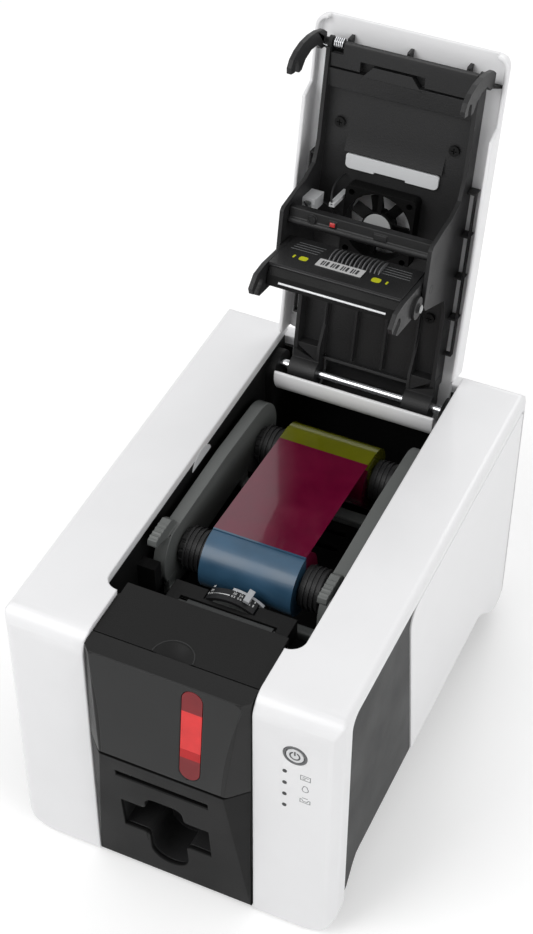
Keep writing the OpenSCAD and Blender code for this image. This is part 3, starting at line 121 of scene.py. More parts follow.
print("helpers for nodes:", [helper.__name__ for helper in (fill, add_node, math_node, new_finish)])


# %% [markdown]
# ## Studio
# A pale floor and a white surround, with broad soft lamps. Cameras, mirrors and glass see a pure white
# surround, and the plastics are lit by a dimmer one, so that a colour looks as it is written.
# %% Surround
def seen_directly(tree):
    """1 for rays that show the background itself: camera, glossy and transmission rays."""
    rays = add_node(tree, "LightPath").outputs
    either = math_node(tree, "MAXIMUM", rays["Is Camera Ray"], rays["Is Glossy Ray"])
    return math_node(tree, "MAXIMUM", either, rays["Is Transmission Ray"])


surround_on_plastic, surround_seen = 0.5, 1.0
world = bpy.data.worlds.new("studio")
bpy.context.scene.world = world
world.use_nodes = True
sky = world.node_tree
sky.nodes.clear()
choose = add_node(sky, "MixShader", {0: seen_directly(sky)})
for socket, strength in ((1, surround_on_plastic), (2, surround_seen)):
    white = add_node(sky, "Background", {"Color": (1, 1, 1, 1), "Strength": strength})
    fill(sky, choose, {socket: white.outputs[0]})
add_node(sky, "OutputWorld", {0: choose.outputs[0]})
print("surround:", surround_on_plastic, "on the plastics,", surround_seen, "where it is seen")


# %% [markdown]
# ### Floor
# The floor lies just under the feet. It adds a little light of its own where it is seen directly, so it
# looks white there and still shows the shadow.
# %% Floor
floor_side, floor_depth, floor_glow = 6, 0.0004, 0.32
bpy.ops.object.select_all(action="DESELECT")
bpy.ops.mesh.primitive_plane_add(size=floor_side, location=(0, 0, -floor_depth))
floor = bpy.context.object
floor.name = "floor"
floor_paint, tree, shader = new_finish("floor_paint")
fill(tree, shader, {"Base Color": (0.82, 0.82, 0.82, 1), "Roughness": 0.9, "Specular IOR Level": 0.1})
glow = add_node(tree, "Emission", {"Strength": math_node(tree, "MULTIPLY", seen_directly(tree), floor_glow)})
both = add_node(tree, "AddShader", {0: shader.outputs[0], 1: glow.outputs[0]})
fill(tree, tree.nodes["Material Output"], {"Surface": both.outputs[0]})
floor.data.materials.append(floor_paint)
print("floor side:", floor.dimensions.x)


# %% [markdown]
# ### Lamps
# Three area lamps do what the soft boxes of a product studio do: a wide one above and in front on the left,
# a weaker one on the right so that the side isn't lost, and a narrow one behind that draws the rims.
# %% Lamps
def soft_box(name, place, width, power):
    """A square area lamp that points at the printer's middle, with its width in metres and its watts."""
    data = bpy.data.lights.new(name, "AREA")
    data.shape = "SQUARE"
    data.size = width
    data.energy = power
    lamp = bpy.data.objects.new(name, data)
    lamp.location = place
    printer_middle = Vector((0, 0, 0.15))
    lamp.rotation_euler = (printer_middle - Vector(place)).to_track_quat("-Z", "Y").to_euler()
    bpy.context.scene.collection.objects.link(lamp)


soft_box("key_lamp", (-0.9, -1.2, 1.7), 1.3, 20)
soft_box("right_lamp", (1.6, -0.5, 0.9), 1.2, 8)
soft_box("rim_lamp", (0.2, 1.6, 1.3), 0.9, 7)


# %% [markdown]
# ## Finishes
# Moulded plastic is never quite even: the steel mould gives it a grain, the melt leaves faint clouds,
# and handling leaves a patchy gloss. One node group makes these three effects from Object coordinates,
# and each finish places it with its own values. It gives out a colour, a roughness and a height.
# %% The group for a moulded surface
def add_sockets(group, side, *sockets):
    """Gives a node group its inputs or outputs. Each is a name and a kind, and an input has a value too."""
    for name, kind, *value in sockets:
        socket = group.interface.new_socket(name=name, in_out=side, socket_type="NodeSocket" + kind)
        if value:
            socket.default_value = value[0]


moulded = bpy.data.node_groups.new("moulded_surface", "ShaderNodeTree")
add_sockets(
    moulded, "INPUT",
    ("Colour", "Color", (0.5, 0.5, 0.5, 1)),
    ("Cloud Size", "Float", 25.0),
    ("Cloud Amount", "Float", 0.04),
    ("Grain Size", "Float", 900.0),
    ("Roughness", "Float", 0.4),
    ("Patchiness", "Float", 0.08),
)
add_sockets(moulded, "OUTPUT", ("Colour", "Color"), ("Roughness", "Float"), ("Height", "Float"))
given = moulded.nodes.new("NodeGroupInput").outputs
spot = add_node(moulded, "TexCoord").outputs["Object"]
clouds = add_node(moulded, "TexNoise", {"Vector": spot, "Scale": given["Cloud Size"], "Detail": 3})
spread = add_node(moulded, "MapRange", {
    "Value": clouds.outputs["Fac"], "From Min": 0.3, "From Max": 0.7, "To Min": -1, "To Max": 1,
}).outputs["Result"]
shade = math_node(moulded, "MULTIPLY_ADD", spread, given["Cloud Amount"], 1.0)
tint = add_node(moulded, "VectorMath", {0: given["Colour"], "Scale": shade}, operation="SCALE")
rough = math_node(moulded, "MULTIPLY_ADD", spread, given["Patchiness"], given["Roughness"], clamp=True)
grain = add_node(moulded, "TexVoronoi", {"Vector": spot, "Scale": given["Grain Size"]})
fill(moulded, moulded.nodes.new("NodeGroupOutput"), {
    "Colour": tint.outputs[0], "Roughness": rough, "Height": grain.outputs["Distance"],
})
print("group inputs:", [s.name for s in moulded.interface.items_tree if s.in_out == "INPUT"])


# %% [markdown]
# ### Plastics
# The white shell is glossy and only faintly grained, the black mouldings are matt with a coarser grain,
# and the cassette is a satin grey. A coat stands for the polished outer skin of the shell.
# %% How a plastic is made
def add_bump(tree, height, strength, distance=0.0004):
    """Lays a bump over the normal that the shader has so far. A height of 1 is the distance in metres."""
    shader = tree.nodes["Principled BSDF"]
    earlier = [link.from_socket for link in shader.inputs["Normal"].links]
    bump = add_node(tree, "Bump", {"Height": height, "Strength": strength, "Distance": distance})
    for normal in earlier:
        fill(tree, bump, {"Normal": normal})
    fill(tree, shader, {"Normal": bump.outputs["Normal"]})


def add_mould(tree, depth, values):
    """Puts the moulded group, with its values, in front of the shader. Depth is the strength of its bump."""
    surface = add_node(tree, "Group", values, node_tree=moulded).outputs
    fill(tree, tree.nodes["Principled BSDF"], {"Base Color": surface["Colour"], "Roughness": surface["Roughness"]})
    add_bump(tree, surface["Height"], depth)


def plastic(name, colour, roughness, grain, depth, clouds, patches, coat=0.0, shine=0.5):
    """A moulded plastic. Colour is linear, grain is cells per metre, depth is the bump strength."""
    paint, tree, shader = new_finish(name)
    add_mould(tree, depth, {
        "Colour": (*colour, 1), "Cloud Amount": clouds, "Grain Size": grain,
        "Roughness": roughness, "Patchiness": patches,
    })
    fill(tree, shader, {"Specular IOR Level": shine, "Coat Weight": coat, "Coat Roughness": 0.08})
    return paint


print("every plastic goes through the group", moulded.name)


# %% [markdown]
# The blacks differ more in gloss and grain than in colour: the deck and the bay are duller than the front,
# and a printed mark is ink with a finer grain. One row below is one finish.
# %% Plastic finishes
finishes = {}
for name, *values in (
    # name, colour, roughness, grain, depth, clouds, patches, coat, shine
    ("shell_white", (0.88, 0.88, 0.89), 0.34, 1400, 0.03, 0.012, 0.05, 0.25),
    ("panel_dark", (0.018, 0.0185, 0.019), 0.5, 1100, 0.25, 0.06, 0.06, 0, 0.2),
    ("front_black", (0.017, 0.0175, 0.0175), 0.42, 1500, 0.12, 0.05, 0.05, 0.03, 0.28),
    ("door_black", (0.017, 0.0175, 0.0175), 0.42, 1500, 0.12, 0.05, 0.05, 0.03, 0.24),
    ("bezel_black", (0.006, 0.006, 0.006), 0.5, 1500, 0.12, 0.05, 0.05, 0, 0.12),
    ("deck_black", (0.009, 0.009, 0.009), 0.5, 1500, 0.12, 0.05, 0.05, 0, 0.15),
    ("fan_black", (0.004, 0.004, 0.004), 0.5, 1500, 0.12, 0.05, 0.05, 0, 0.1),
    ("black_plastic", (0.017, 0.017, 0.0175), 0.45, 1100, 0.25, 0.08, 0.08, 0, 0.28),
    ("bay_black", (0.006, 0.006, 0.006), 0.5, 1100, 0.2, 0.08, 0.08, 0, 0.15),
    ("scale_grey", (0.014, 0.014, 0.015), 0.45, 1400, 0.15, 0.05, 0.05, 0, 0.2),
    ("sensor_grey", (0.011, 0.011, 0.0115), 0.4, 1400, 0.15, 0.05, 0.05, 0, 0.3),
    ("lever_grey", (0.46, 0.47, 0.49), 0.35, 1400, 0.1, 0.03, 0.05),
    ("cassette_grey", (0.135, 0.142, 0.138), 0.42, 1200, 0.15, 0.05, 0.06, 0, 0.35),
    ("white_plastic", (0.66, 0.67, 0.68), 0.4, 1300, 0.1, 0.03, 0.05),
    ("rubber", (0.010, 0.010, 0.011), 0.78, 2400, 0.45, 0.1, 0.06, 0, 0.2),
    ("roller_grey", (0.050, 0.052, 0.052), 0.6, 2400, 0.3, 0.08, 0.06, 0, 0.3),
    ("button_cap", (0.72, 0.73, 0.74), 0.28, 1500, 0.05, 0.02, 0.04, 0.4),
    ("ring_grey", (0.085, 0.088, 0.092), 0.3, 1500, 0.05, 0.05, 0.05, 0.3),
    ("label_grey", (0.42, 0.43, 0.43), 0.5, 1500, 0.03, 0.04, 0.05),
    ("label_white", (0.62, 0.62, 0.62), 0.55, 1500, 0.03, 0.03, 0.05),
    ("fin_grey", (0.15, 0.15, 0.155), 0.4, 1500, 0.05, 0.05, 0.05, 0, 0.4),
    ("bead_white", (0.85, 0.86, 0.88), 0.15, 1500, 0.02, 0.02, 0.04, 0.8),
    ("rod_black", (0.02, 0.02, 0.022), 0.12, 1500, 0.02, 0.05, 0.03, 0.8),
    ("ink_dark", (0.035, 0.036, 0.038), 0.5, 2000, 0.03, 0.08, 0.05),
    ("ink_grey", (0.19, 0.195, 0.2), 0.5, 2000, 0.03, 0.08, 0.05),
    ("ink_white", (0.70, 0.70, 0.70), 0.5, 2000, 0.03, 0.05, 0.05),
    ("ink_yellow", (0.60, 0.62, 0.015), 0.5, 2000, 0.03, 0.06, 0.05),
    ("wire_black", (0.008, 0.008, 0.009), 0.4, 2000, 0.05, 0.08, 0.05, 0, 0.4),
    ("part_red", (0.55, 0.015, 0.015), 0.3, 2000, 0.05, 0.1, 0.05, 0.3),
):
    finishes[name] = plastic(name, *values)
print("plastics:", sorted(finishes))


# %% [markdown]
# ### Metals
# Turned axles carry fine rings and drawn wire has fine lines along it, so the noise is stretched along one
# axis. The motor can and the latch spring share the steel. The heat sink is raw extruded aluminium.
# %% Metal finishes
def metal(name, colour, roughness, stretch):
    """A bare metal whose fine lines run along the axis with the small stretch."""
    paint, tree, shader = new_finish(name)
    spot = add_node(tree, "TexCoord").outputs["Object"]
    pulled = add_node(tree, "Mapping", {"Vector": spot, "Scale": stretch}).outputs["Vector"]
    lines = add_node(tree, "TexNoise", {"Vector": pulled, "Scale": 900, "Detail": 2}).outputs["Fac"]
    darkest, smoothest, roughest = 0.82, roughness * 0.7, roughness * 1.4
    dark = (*[c * darkest for c in colour], 1)
    tone = add_node(tree, "Mix", {"Factor": lines, "A": dark, "B": (*colour, 1)}, data_type="RGBA")
    gloss = add_node(tree, "MapRange", {"Value": lines, "To Min": smoothest, "To Max": roughest})
    fill(tree, shader, {
        "Metallic": 1, "Base Color": tone.outputs["Result"], "Roughness": gloss.outputs["Result"],
    })
    add_bump(tree, lines, strength=0.15, distance=0.0001)
    return paint


finishes["steel"] = metal("steel", (0.72, 0.73, 0.75), roughness=0.2, stretch=(1, 0.08, 0.08))
finishes["heat_sink"] = metal("heat_sink", (0.62, 0.63, 0.65), roughness=0.35, stretch=(0.05, 1, 1))
print("metals:", finishes["steel"].name, finishes["heat_sink"].name)


# %% [markdown]
# ### Circuit board
# The circuit board shows its copper tracks as slightly lighter lines under the lacquer. A brick pattern
# has such lines at right angles, and it is turned so that it lies in the plane of the upright board.
# %% Board finish
finishes["circuit_green"], tree, shader = new_finish("circuit_green")
spot = add_node(tree, "TexCoord").outputs["Object"]
upright_spot = add_node(tree, "Mapping", {"Vector": spot, "Rotation": (0, math.pi / 2, 0)}).outputs["Vector"]
tracks = add_node(tree, "TexBrick", {
    "Vector": upright_spot, "Scale": 160, "Mortar Size": 0.06,
    "Color1": (0.008, 0.07, 0.03, 1), "Color2": (0.012, 0.09, 0.04, 1), "Mortar": (0.03, 0.16, 0.07, 1),
})
fill(tree, shader, {"Base Color": tracks.outputs["Color"], "Roughness": 0.3, "Coat Weight": 0.3})
print("finishes so far:", len(finishes))


# %% [markdown]
# ### The red window
# It is a clear red moulding over a dark box: bright where a white reflector stands behind its middle and
# dull above and below it. The steps along its height are one colour ramp on the Z coordinate.
# %% Window finish
def banded(name, axis, stops, roughness, coat, depth=0.02, shine=0.5):
    """A finish whose colour steps along one axis. Stops are (place in metres, linear colour)."""
    paint, tree, shader = new_finish(name)
    low, high = stops[0][0], stops[-1][0]
    spot = add_node(tree, "TexCoord").outputs["Object"]
    along = add_node(tree, "SeparateXYZ", {0: spot}).outputs[axis]
    part = add_node(tree, "MapRange", {"Value": along, "From Min": low, "From Max": high}).outputs["Result"]
    ramp = add_node(tree, "ValToRGB", {"Fac": part})
    ramp.color_ramp.interpolation = "CONSTANT"
    while len(ramp.color_ramp.elements) < len(stops):
        ramp.color_ramp.elements.new(0.5)
    for element, (at, colour) in zip(ramp.color_ramp.elements, stops):
        element.position = (at - low) / (high - low)
        element.color = (*colour, 1)
    add_mould(tree, depth, {
        "Colour": ramp.outputs["Color"], "Cloud Size": 60, "Cloud Amount": 0.12,
        "Roughness": roughness, "Patchiness": 0.05,
    })
    fill(tree, shader, {"Specular IOR Level": shine, "Coat Weight": coat, "Coat Roughness": 0.05})
    return paint


dull_red, bright_red, deep_red = (0.22, 0.018, 0.022), (0.78, 0.045, 0.045), (0.50, 0.012, 0.014)
window_bands = [(0.1207, dull_red), (0.136, deep_red), (0.1425, bright_red), (0.171, dull_red), (0.1867, dull_red)]
finishes["window_red"] = banded("window_red", "Z", window_bands, roughness=0.2, coat=0.1, depth=0.03, shine=0.2)
print("window bands:", len(window_bands) - 1)


# %% [markdown]
# ### The panel on the feeder door
# The front of the door is one broad satin panel with two round upper corners and sides that curve in
# towards the bottom. What lies around it is duller, and its darker colour is painted shade on the bevelled
# band and sides. The panel could be a piece of its own, but on the real door it is part of the moulding, so a
# mask in a node group tells panel from surround: the distance to the outline is worked out from X and Z, and
# the step at the outline is a small bump.
# %% Mask of the door's panel
outlined = bpy.data.node_groups.new("door_panel_mask", "ShaderNodeTree")
add_sockets(
    outlined, "INPUT",
    ("Low Half Width", "Float", 0.0373), ("Flare", "Float", 1.9), ("Low", "Float", 0.115),
    ("Top", "Float", 0.1893), ("Corner", "Float", 0.006), ("Step", "Float", 0.0004),
)
add_sockets(outlined, "OUTPUT", ("Panel", "Float"))


def calc(operation, *values, clamp=False):
    """The result of a math node in the mask's group."""
    return math_node(outlined, operation, *values, clamp=clamp)


given = outlined.nodes.new("NodeGroupInput").outputs
spot = add_node(outlined, "TexCoord").outputs["Object"]
axes = add_node(outlined, "SeparateXYZ", {0: spot}).outputs
rise = calc("MAXIMUM", calc("SUBTRACT", axes["Z"], given["Low"]), 0.0)
flare = calc("MULTIPLY", calc("POWER", rise, 2.0), given["Flare"])
half_width = calc("ADD", flare, given["Low Half Width"])
beside = calc("SUBTRACT", calc("ABSOLUTE", axes["X"]), half_width)
beside = calc("MAXIMUM", calc("ADD", beside, given["Corner"]), 0.0)
above = calc("SUBTRACT", axes["Z"], given["Top"])
above = calc("MAXIMUM", calc("ADD", above, given["Corner"]), 0.0)
squares = calc("ADD", calc("MULTIPLY", beside, beside), calc("MULTIPLY", above, above))
inside = calc("SUBTRACT", given["Corner"], calc("SQRT", squares))
panel = calc("ADD", calc("DIVIDE", inside, given["Step"]), 0.5, clamp=True)
fill(outlined, outlined.nodes.new("NodeGroupOutput"), {"Panel": panel})
print("door panel mask:", len(outlined.nodes), "nodes")


# %% [markdown]
# The mask mixes the panel's own colour with the darker one around it, and it is also the height of the step.
# %% Door finish
tree = finishes["door_black"].node_tree
shader = tree.nodes["Principled BSDF"]
panel = add_node(tree, "Group", node_tree=outlined).outputs["Panel"]
# A is painted shade around the panel: a darker colour laid on the bevelled band and sides.
panel_with_painted_shade = add_node(tree, "Mix", {
    "Factor": panel, "A": (0.0045, 0.0045, 0.0045, 1), "B": shader.inputs["Base Color"].links[0].from_socket,
}, data_type="RGBA")
fill(tree, shader, {"Base Color": panel_with_painted_shade.outputs["Result"]})
add_bump(tree, panel, strength=0.8)
print("door finish:", len(tree.nodes), "nodes")


# %% [markdown]
# ### The ribbon
# The ribbon carries one dye panel after the other: yellow near the supply roll, magenta across the middle,
# and blue on the take-up roll. The panels follow the Y coordinate over the stretched film and the rolls.
# The film is thin and clear, so the black bay darkens its colours. The used film on the roll is duller.
# %% Ribbon finishes
yellow, magenta, blue = (0.120, 0.125, 0.002), (0.120, 0.001, 0.022), (0.030, 0.085, 0.15)
dyes = [(-0.06, blue), (-0.029, magenta), (0.064, yellow), (0.11, yellow)]
for name, roughness, coat in (("film", 0.22, 0.6), ("film_yellow", 0.22, 0.6), ("film_blue", 0.36, 0.15)):
    finishes[name] = banded(name, "Y", dyes, roughness, coat)
print("ribbon panels:", len(dyes) - 1)


# %% [markdown]
# ## Dress the solids
# A solid whose shape is right stays and only takes its finish. Some solids of one slot differ in gloss on
# the real printer: the deck is duller than the lid's frame, and the walls of the bay are nearly black.
# %% Give every solid its finish
own_finish = {
    "feeder_door": "door_black",
    "front_bezel": "bezel_black",
    "top_deck": "deck_black",
    "fan_housing": "fan_black",
    "fan_rotor": "fan_black",
    "print_head": "bay_black",
    "card_hopper": "bay_black",
    "left_bay_wall": "bay_black",
    "right_bay_wall": "bay_black",
    "card_guide": "bay_black",
    "base_tray": "panel_dark",
    "cleaning_roller": "roller_grey",
    "sensor_bar": "sensor_grey",
    "lid_screws": "bay_black",
    "led_lenses": "ink_dark",
}
for name, solid in nodes.items():
    finish = finishes[own_finish.get(name, slot_of_node[name])]
    if not solid.material_slots:
        solid.data.materials.append(finish)
    for holder in solid.material_slots:
        holder.material = finish
print("dressed solids:", len(nodes))


# %% [markdown]
# ## Working in edit mode
# An operator works on all that is selected, so each piece starts with nothing else selected, and its faces
# are then picked in code by their place or direction. A flat shape is drawn in the XY plane by moving the
# corners of a circle, and it gets its thickness by an extrusion.
# %% Helpers for edit mode
mm = 0.001


def start_clean():
    """Leaves edit mode and selects nothing, so that the next operator acts on its own piece only."""
    if bpy.context.object and bpy.context.object.mode != "OBJECT":
        bpy.ops.object.mode_set(mode="OBJECT")
    bpy.ops.object.select_all(action="DESELECT")


def take(piece):
    """Makes one piece the selected and active one."""
    start_clean()
    piece.select_set(True)
    bpy.context.view_layer.objects.active = piece


def edit_all():
    """Enters edit mode, or stays in it, with all of the piece selected."""
    bpy.ops.object.mode_set(mode="EDIT")
    bpy.ops.mesh.select_all(action="SELECT")


def pick_faces(piece, test):
    """In edit mode, selects the faces for which the test of their centre and normal is true."""
    bpy.ops.mesh.select_mode(type="FACE")
    bpy.ops.mesh.select_all(action="DESELECT")
    faces = bmesh.from_edit_mesh(piece.data)
    for face in faces.faces:
        face.select = bool(test(face.calc_center_median(), face.normal))
    bmesh.update_edit_mesh(piece.data)


def drawn(points, fill_type="NGON"):
    """A shape with its corners at the points, in edit mode with all of it selected."""
    start_clean()
    bpy.ops.mesh.primitive_circle_add(vertices=len(points), radius=mm, fill_type=fill_type)
    piece = bpy.context.object
    for vertex, point in zip(piece.data.vertices, points):
        vertex.co = Vector(point).to_3d()
    edit_all()
    return piece


def push(height):
    """Extrudes what is selected along Z."""
    bpy.ops.mesh.extrude_region_move(TRANSFORM_OT_translate={"value": (0, 0, height)})


def round_off(angle):
    """Leaves edit mode and shades the piece smooth where its faces meet below the angle, in degrees."""
    bpy.ops.object.mode_set(mode="OBJECT")
    bpy.ops.object.shade_smooth_by_angle(angle=math.radians(angle))


edit_helpers = (start_clean, take, edit_all, pick_faces, drawn, push, round_off)
print("helpers for edit mode:", [helper.__name__ for helper in edit_helpers])


# %% [markdown]
# ## Soft edges
# No moulded edge is sharp: it catches the light as a thin bright line. A solid's edges could be bevelled
# where they lie, but the solids stay as they are, so a copy is merged, its flat triangles are dissolved
# into whole faces, and the copy is bevelled where its faces meet at a clear angle. Weighted normals then
# let the broad faces stay flat, so that only the narrow bevels look round. Where three edges meet at a
# flat angle, a bevel can throw a point far out, so such points are laid back on the solid.
# Faces with many small holes keep their triangles, and the holes keep their sharp edges: a face with a
# dozen holes is hard to fill again, and a bevel as wide as a hole would close it.
# %% A copy with rounded edges
weld_distance = 0.00001
flat_within = math.radians(0.8)
bevel_above = math.radians(38)
stray_widths = 0.3
small_holes = {
    "right_cover": ((0.064, -0.156, 0.105), (0.089, -0.142, 0.173)),
    "rear_cover": ((-0.060, 0.138, 0.030), (0.060, 0.190, 0.155)),
}


def softened(node, width):
    """A copy of a solid with rounded edges, which stands for that solid. Width is in metres."""
    solid = nodes[node]
    copy = bpy.data.objects.new("soft_" + node, solid.data.copy())
    bpy.context.scene.collection.objects.link(copy)
    take(copy)
    edit_all()
    bpy.ops.mesh.remove_doubles(threshold=weld_distance)
    low, high = (Vector(corner) for corner in small_holes.get(node, ((0, 0, 0), (0, 0, 0))))
    if node in small_holes:
        pick_faces(copy, lambda c, n: not (low.y < c.y < high.y and abs(n.y) > 0.99))
    bpy.ops.mesh.dissolve_limited(angle_limit=flat_within)
    rims = bmesh.from_edit_mesh(copy.data)
    weight = rims.edges.layers.float.new("bevel_weight_edge")
    for edge in rims.edges:
        middle = (edge.verts[0].co + edge.verts[1].co) / 2
        in_small_hole = all(a < v < b for a, v, b in zip(low, middle, high))
        clear_angle = len(edge.link_faces) == 2 and edge.calc_face_angle() > bevel_above
        edge[weight] = 1.0 if clear_angle and not in_small_hole else 0.0
    bmesh.update_edit_mesh(copy.data)
    bpy.ops.object.mode_set(mode="OBJECT")
    edges = copy.modifiers.new("edges", "BEVEL")
    edges.width = width
    edges.segments = 2
    edges.limit_method = "WEIGHT"
    edges.use_clamp_overlap = False
    bpy.ops.object.modifier_apply(modifier="edges")
    mesh = solid.data
    surface = BVHTree.FromPolygons([v.co for v in mesh.vertices], [p.vertices for p in mesh.polygons])
    for vertex in copy.data.vertices:
        nearest, _, _, gap = surface.find_nearest(vertex.co)
        if gap > stray_widths * width:
            vertex.co = nearest
    round_off(40)
    flat_faces = copy.modifiers.new("flat_faces", "WEIGHTED_NORMAL")
    flat_faces.weight = 80
    flat_faces.keep_sharp = True
    bpy.ops.object.modifier_apply(modifier="flat_faces")
    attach(copy, body_of_node[node])
    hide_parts(node)
    return copy


print("small holes on:", sorted(small_holes))


# %% [markdown]
# The big covers have the roundest edges, and thin frames and small levers the sharpest. A piece that is
# small on the printer needs a bevel narrower than its thinnest wall.
# %% Round the edges of the moulded pieces
edge_widths = {
    "left_cover": 0.0011,
    "right_cover": 0.0011,
    "lid_cover": 0.0009,
    "feeder_door": 0.0007,
    "front_bezel": 0.0007,
    "top_deck": 0.0004,
    "cassette_frame": 0.0005,
    "output_tray": 0.0005,
    "left_side_panel": 0.0006,
    "right_side_panel": 0.0006,
    "left_rear_panel": 0.0006,
    "right_rear_panel": 0.0006,
    "rear_cover": 0.0010,
    "lid_frame": 0.00025,
    "lid_latch": 0.00035,
    "sensor_bar": 0.0005,
    "head_carrier": 0.00025,
    "fan_housing": 0.0002,
    "reflector_strip": 0.0003,
    "card_hopper": 0.0003,
    "power_button": 0.0003,
    "gauge_lever": 0.0003,
}
soft = {node: softened(node, width) for node, width in edge_widths.items()}
print("softened:", len(soft), "largest:", max((len(p.data.polygons), n) for n, p in soft.items()))


# %% [markdown]
# ## Small pieces
# The small pieces are modelled lying flat at the origin or where they sit, and then put in place.
# A piece in the lid is modelled as if the lid were shut, where its sides are straight, and then swung
# open about the hinge, as the solids of the lid are. The hinge comes from the record.
# %% Putting a piece in place
lid_opening = math.radians(-101.3)
hinge = next(j for j in frame["record"]["behaviour"]["joints"] if j["name"] == "lid_hinge")
hinge_point = Vector(hinge["pos_m"])
swing = Matrix.Rotation(lid_opening, 4, "X")
open_lid = Matrix.Translation(hinge_point) @ swing @ Matrix.Translation(-hinge_point)


def settle(piece, name, finish, body, lid=False):
    """Puts a piece's place into its mesh, swings it open with the lid if asked, and dresses it."""
    take(piece)
    if piece.type != "MESH":
        bpy.ops.object.convert(target="MESH")
        piece = bpy.context.object
    bpy.ops.object.transform_apply(location=True, rotation=True, scale=True)
    if lid:
        piece.data.transform(open_lid)
    piece.name = name
    piece.data.materials.clear()
    piece.data.materials.append(finishes[finish])
    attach(piece, body)
    return piece


def ring(name, inner, outer, height, chamfer, place, turn, finish, body, lid=False):
    """A ring with a chamfered upper rim: an outline of six points that is spun once around the Z axis."""
    low, high = -height / 2, height / 2
    piece = drawn([
        (inner, 0, low), (outer, 0, low), (outer, 0, high - chamfer),
        (outer - chamfer, 0, high), (inner + chamfer, 0, high), (inner, 0, high - chamfer),
    ], "NOTHING")
    bpy.ops.mesh.spin(steps=48, angle=2 * math.pi, center=(0, 0, 0), axis=(0, 0, 1))
    bpy.ops.mesh.select_all(action="SELECT")
    bpy.ops.mesh.remove_doubles(threshold=weld_distance)
    bpy.ops.mesh.normals_make_consistent(inside=False)
    round_off(25)
    piece.location = place
    piece.rotation_euler = turn
    return settle(piece, name, finish, body, lid)


print("lid opens about", [round(v / mm, 1) for v in hinge_point])


# %% [markdown]
# ### The surround of the power button
# A dark ring with a chamfer lies around the white button, and the sign on the button is a broken circle with
# a bar. The circle is a thin ring whose top is cut away with a bisect, and the bar is a slim block.
# %% Power button
facing_front = (math.pi / 2, 0, 0)
button_x, button_z, front_y = 0.0764, 0.161, -0.149
ink_height, ink_lift = 0.06 * mm, 0.02 * mm
ring("button_ring", inner=0.0056, outer=0.0073, height=0.0011, chamfer=0.0004,
     place=(button_x, front_y + 0.00015, button_z), turn=facing_front,
     finish="ring_grey", body="base")


def broken_circle(radius, width, gap):
    """A flat ring in the XY plane that is open at its top, where the gap is measured from the middle."""
    start_clean()
    bpy.ops.mesh.primitive_circle_add(vertices=40, radius=radius, fill_type="NGON")
    piece = bpy.context.object
    edit_all()
    bpy.ops.mesh.inset(thickness=width, depth=0)
    bpy.ops.mesh.delete(type="FACE")
    for side in (gap, -gap):
        bpy.ops.mesh.select_all(action="SELECT")
        bpy.ops.mesh.bisect(plane_co=(side, 0, 0), plane_no=(1, 0, 0))
    pick_faces(piece, lambda c, n: abs(c.x) < gap and c.y > 0)
    bpy.ops.mesh.delete(type="FACE")
    bpy.ops.mesh.select_all(action="SELECT")
    push(ink_height)
    bpy.ops.object.mode_set(mode="OBJECT")
    return piece


def bar(length, width, height=ink_height, corner=0.3):
    """A slim flat block with rounded corners, in the XY plane, standing on its underside."""
    start_clean()
    bpy.ops.mesh.primitive_plane_add(size=1)
    piece = bpy.context.object
    piece.scale = (length, width, 1)
    bpy.ops.object.transform_apply(location=False, rotation=False, scale=True)
    edit_all()
    bpy.ops.mesh.bevel(offset=min(length, width) * corner, segments=2, affect="VERTICES")
    bpy.ops.mesh.select_all(action="SELECT")
    push(height)
    bpy.ops.object.mode_set(mode="OBJECT")
    return piece


def on_front(piece, name, finish, place, body):
    """Stands a flat piece up at its place, with its top to the front."""
    piece.location = place
    piece.rotation_euler = facing_front
    settle(piece, name, finish, body)


sign_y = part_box("power_button")[0].y + ink_lift
on_front(broken_circle(radius=0.0033, width=0.0009, gap=0.0011), "power_sign", "ink_dark",
         (button_x, sign_y, button_z), "button")
on_front(bar(0.0009, 0.0034), "power_stroke", "ink_dark",
         (button_x, sign_y, button_z + 0.0020), "button")
print("button sign at y", round(sign_y / mm, 2), "mm")


# %% [markdown]
# ### Signs beside the lights
# Three small grey signs stand right of the lights. They are plain generic ones: a card, a drop and a tray,
# each a thin outline. An outline is a flat shape whose inset middle is deleted.
# %% Signs
def outline(points, width):
    """A closed outline in the XY plane around the points."""
    piece = drawn(points)
    bpy.ops.mesh.normals_make_consistent(inside=False)
    bpy.ops.mesh.inset(thickness=width, depth=0)
    bpy.ops.mesh.delete(type="FACE")
    bpy.ops.mesh.select_all(action="SELECT")
    push(ink_height)
    bpy.ops.object.mode_set(mode="OBJECT")
    return piece


def oval(half_x, half_y, count=20):
    """Points around an oval."""
    angles = [2 * math.pi * i / count for i in range(count)]
    return [(half_x * math.cos(a), half_y * math.sin(a)) for a in angles]


sign_x, panel_y = 0.0828, front_y + 0.00003
card = [(-3.1, -2.1), (3.1, -2.1), (3.1, 2.1), (-3.1, 2.1)]
drop = [(x, y + (1.2 if y > 1.6 else 0)) for x, y in oval(2.1, 2.2)]
tray = [(-3.2, -2.3), (3.2, -2.3), (3.2, 0.9), (1.8, 0.9), (1.1, -0.6), (-1.1, -0.6), (-1.8, 0.9), (-3.2, 0.9)]
for name, shape, height in (("card", card, 0.1445), ("drop", drop, 0.1345), ("tray", tray, 0.1250)):
    piece = outline([(x * mm, y * mm) for x, y in shape], 0.00048)
    on_front(piece, "sign_" + name, "ink_grey", (sign_x, panel_y, height), "base")
for name, length, x, height in (
    ("sign_card_line", 3.6, sign_x, 0.1450),
    ("sign_card_short_line", 2.0, sign_x - 0.8 * mm, 0.1437),
    ("sign_tray_card", 3.4, sign_x, 0.1270),
):
    on_front(bar(length * mm, 0.5 * mm), name, "ink_grey", (x, panel_y, height), "base")
print("signs at x", round(sign_x / mm, 1), "mm")


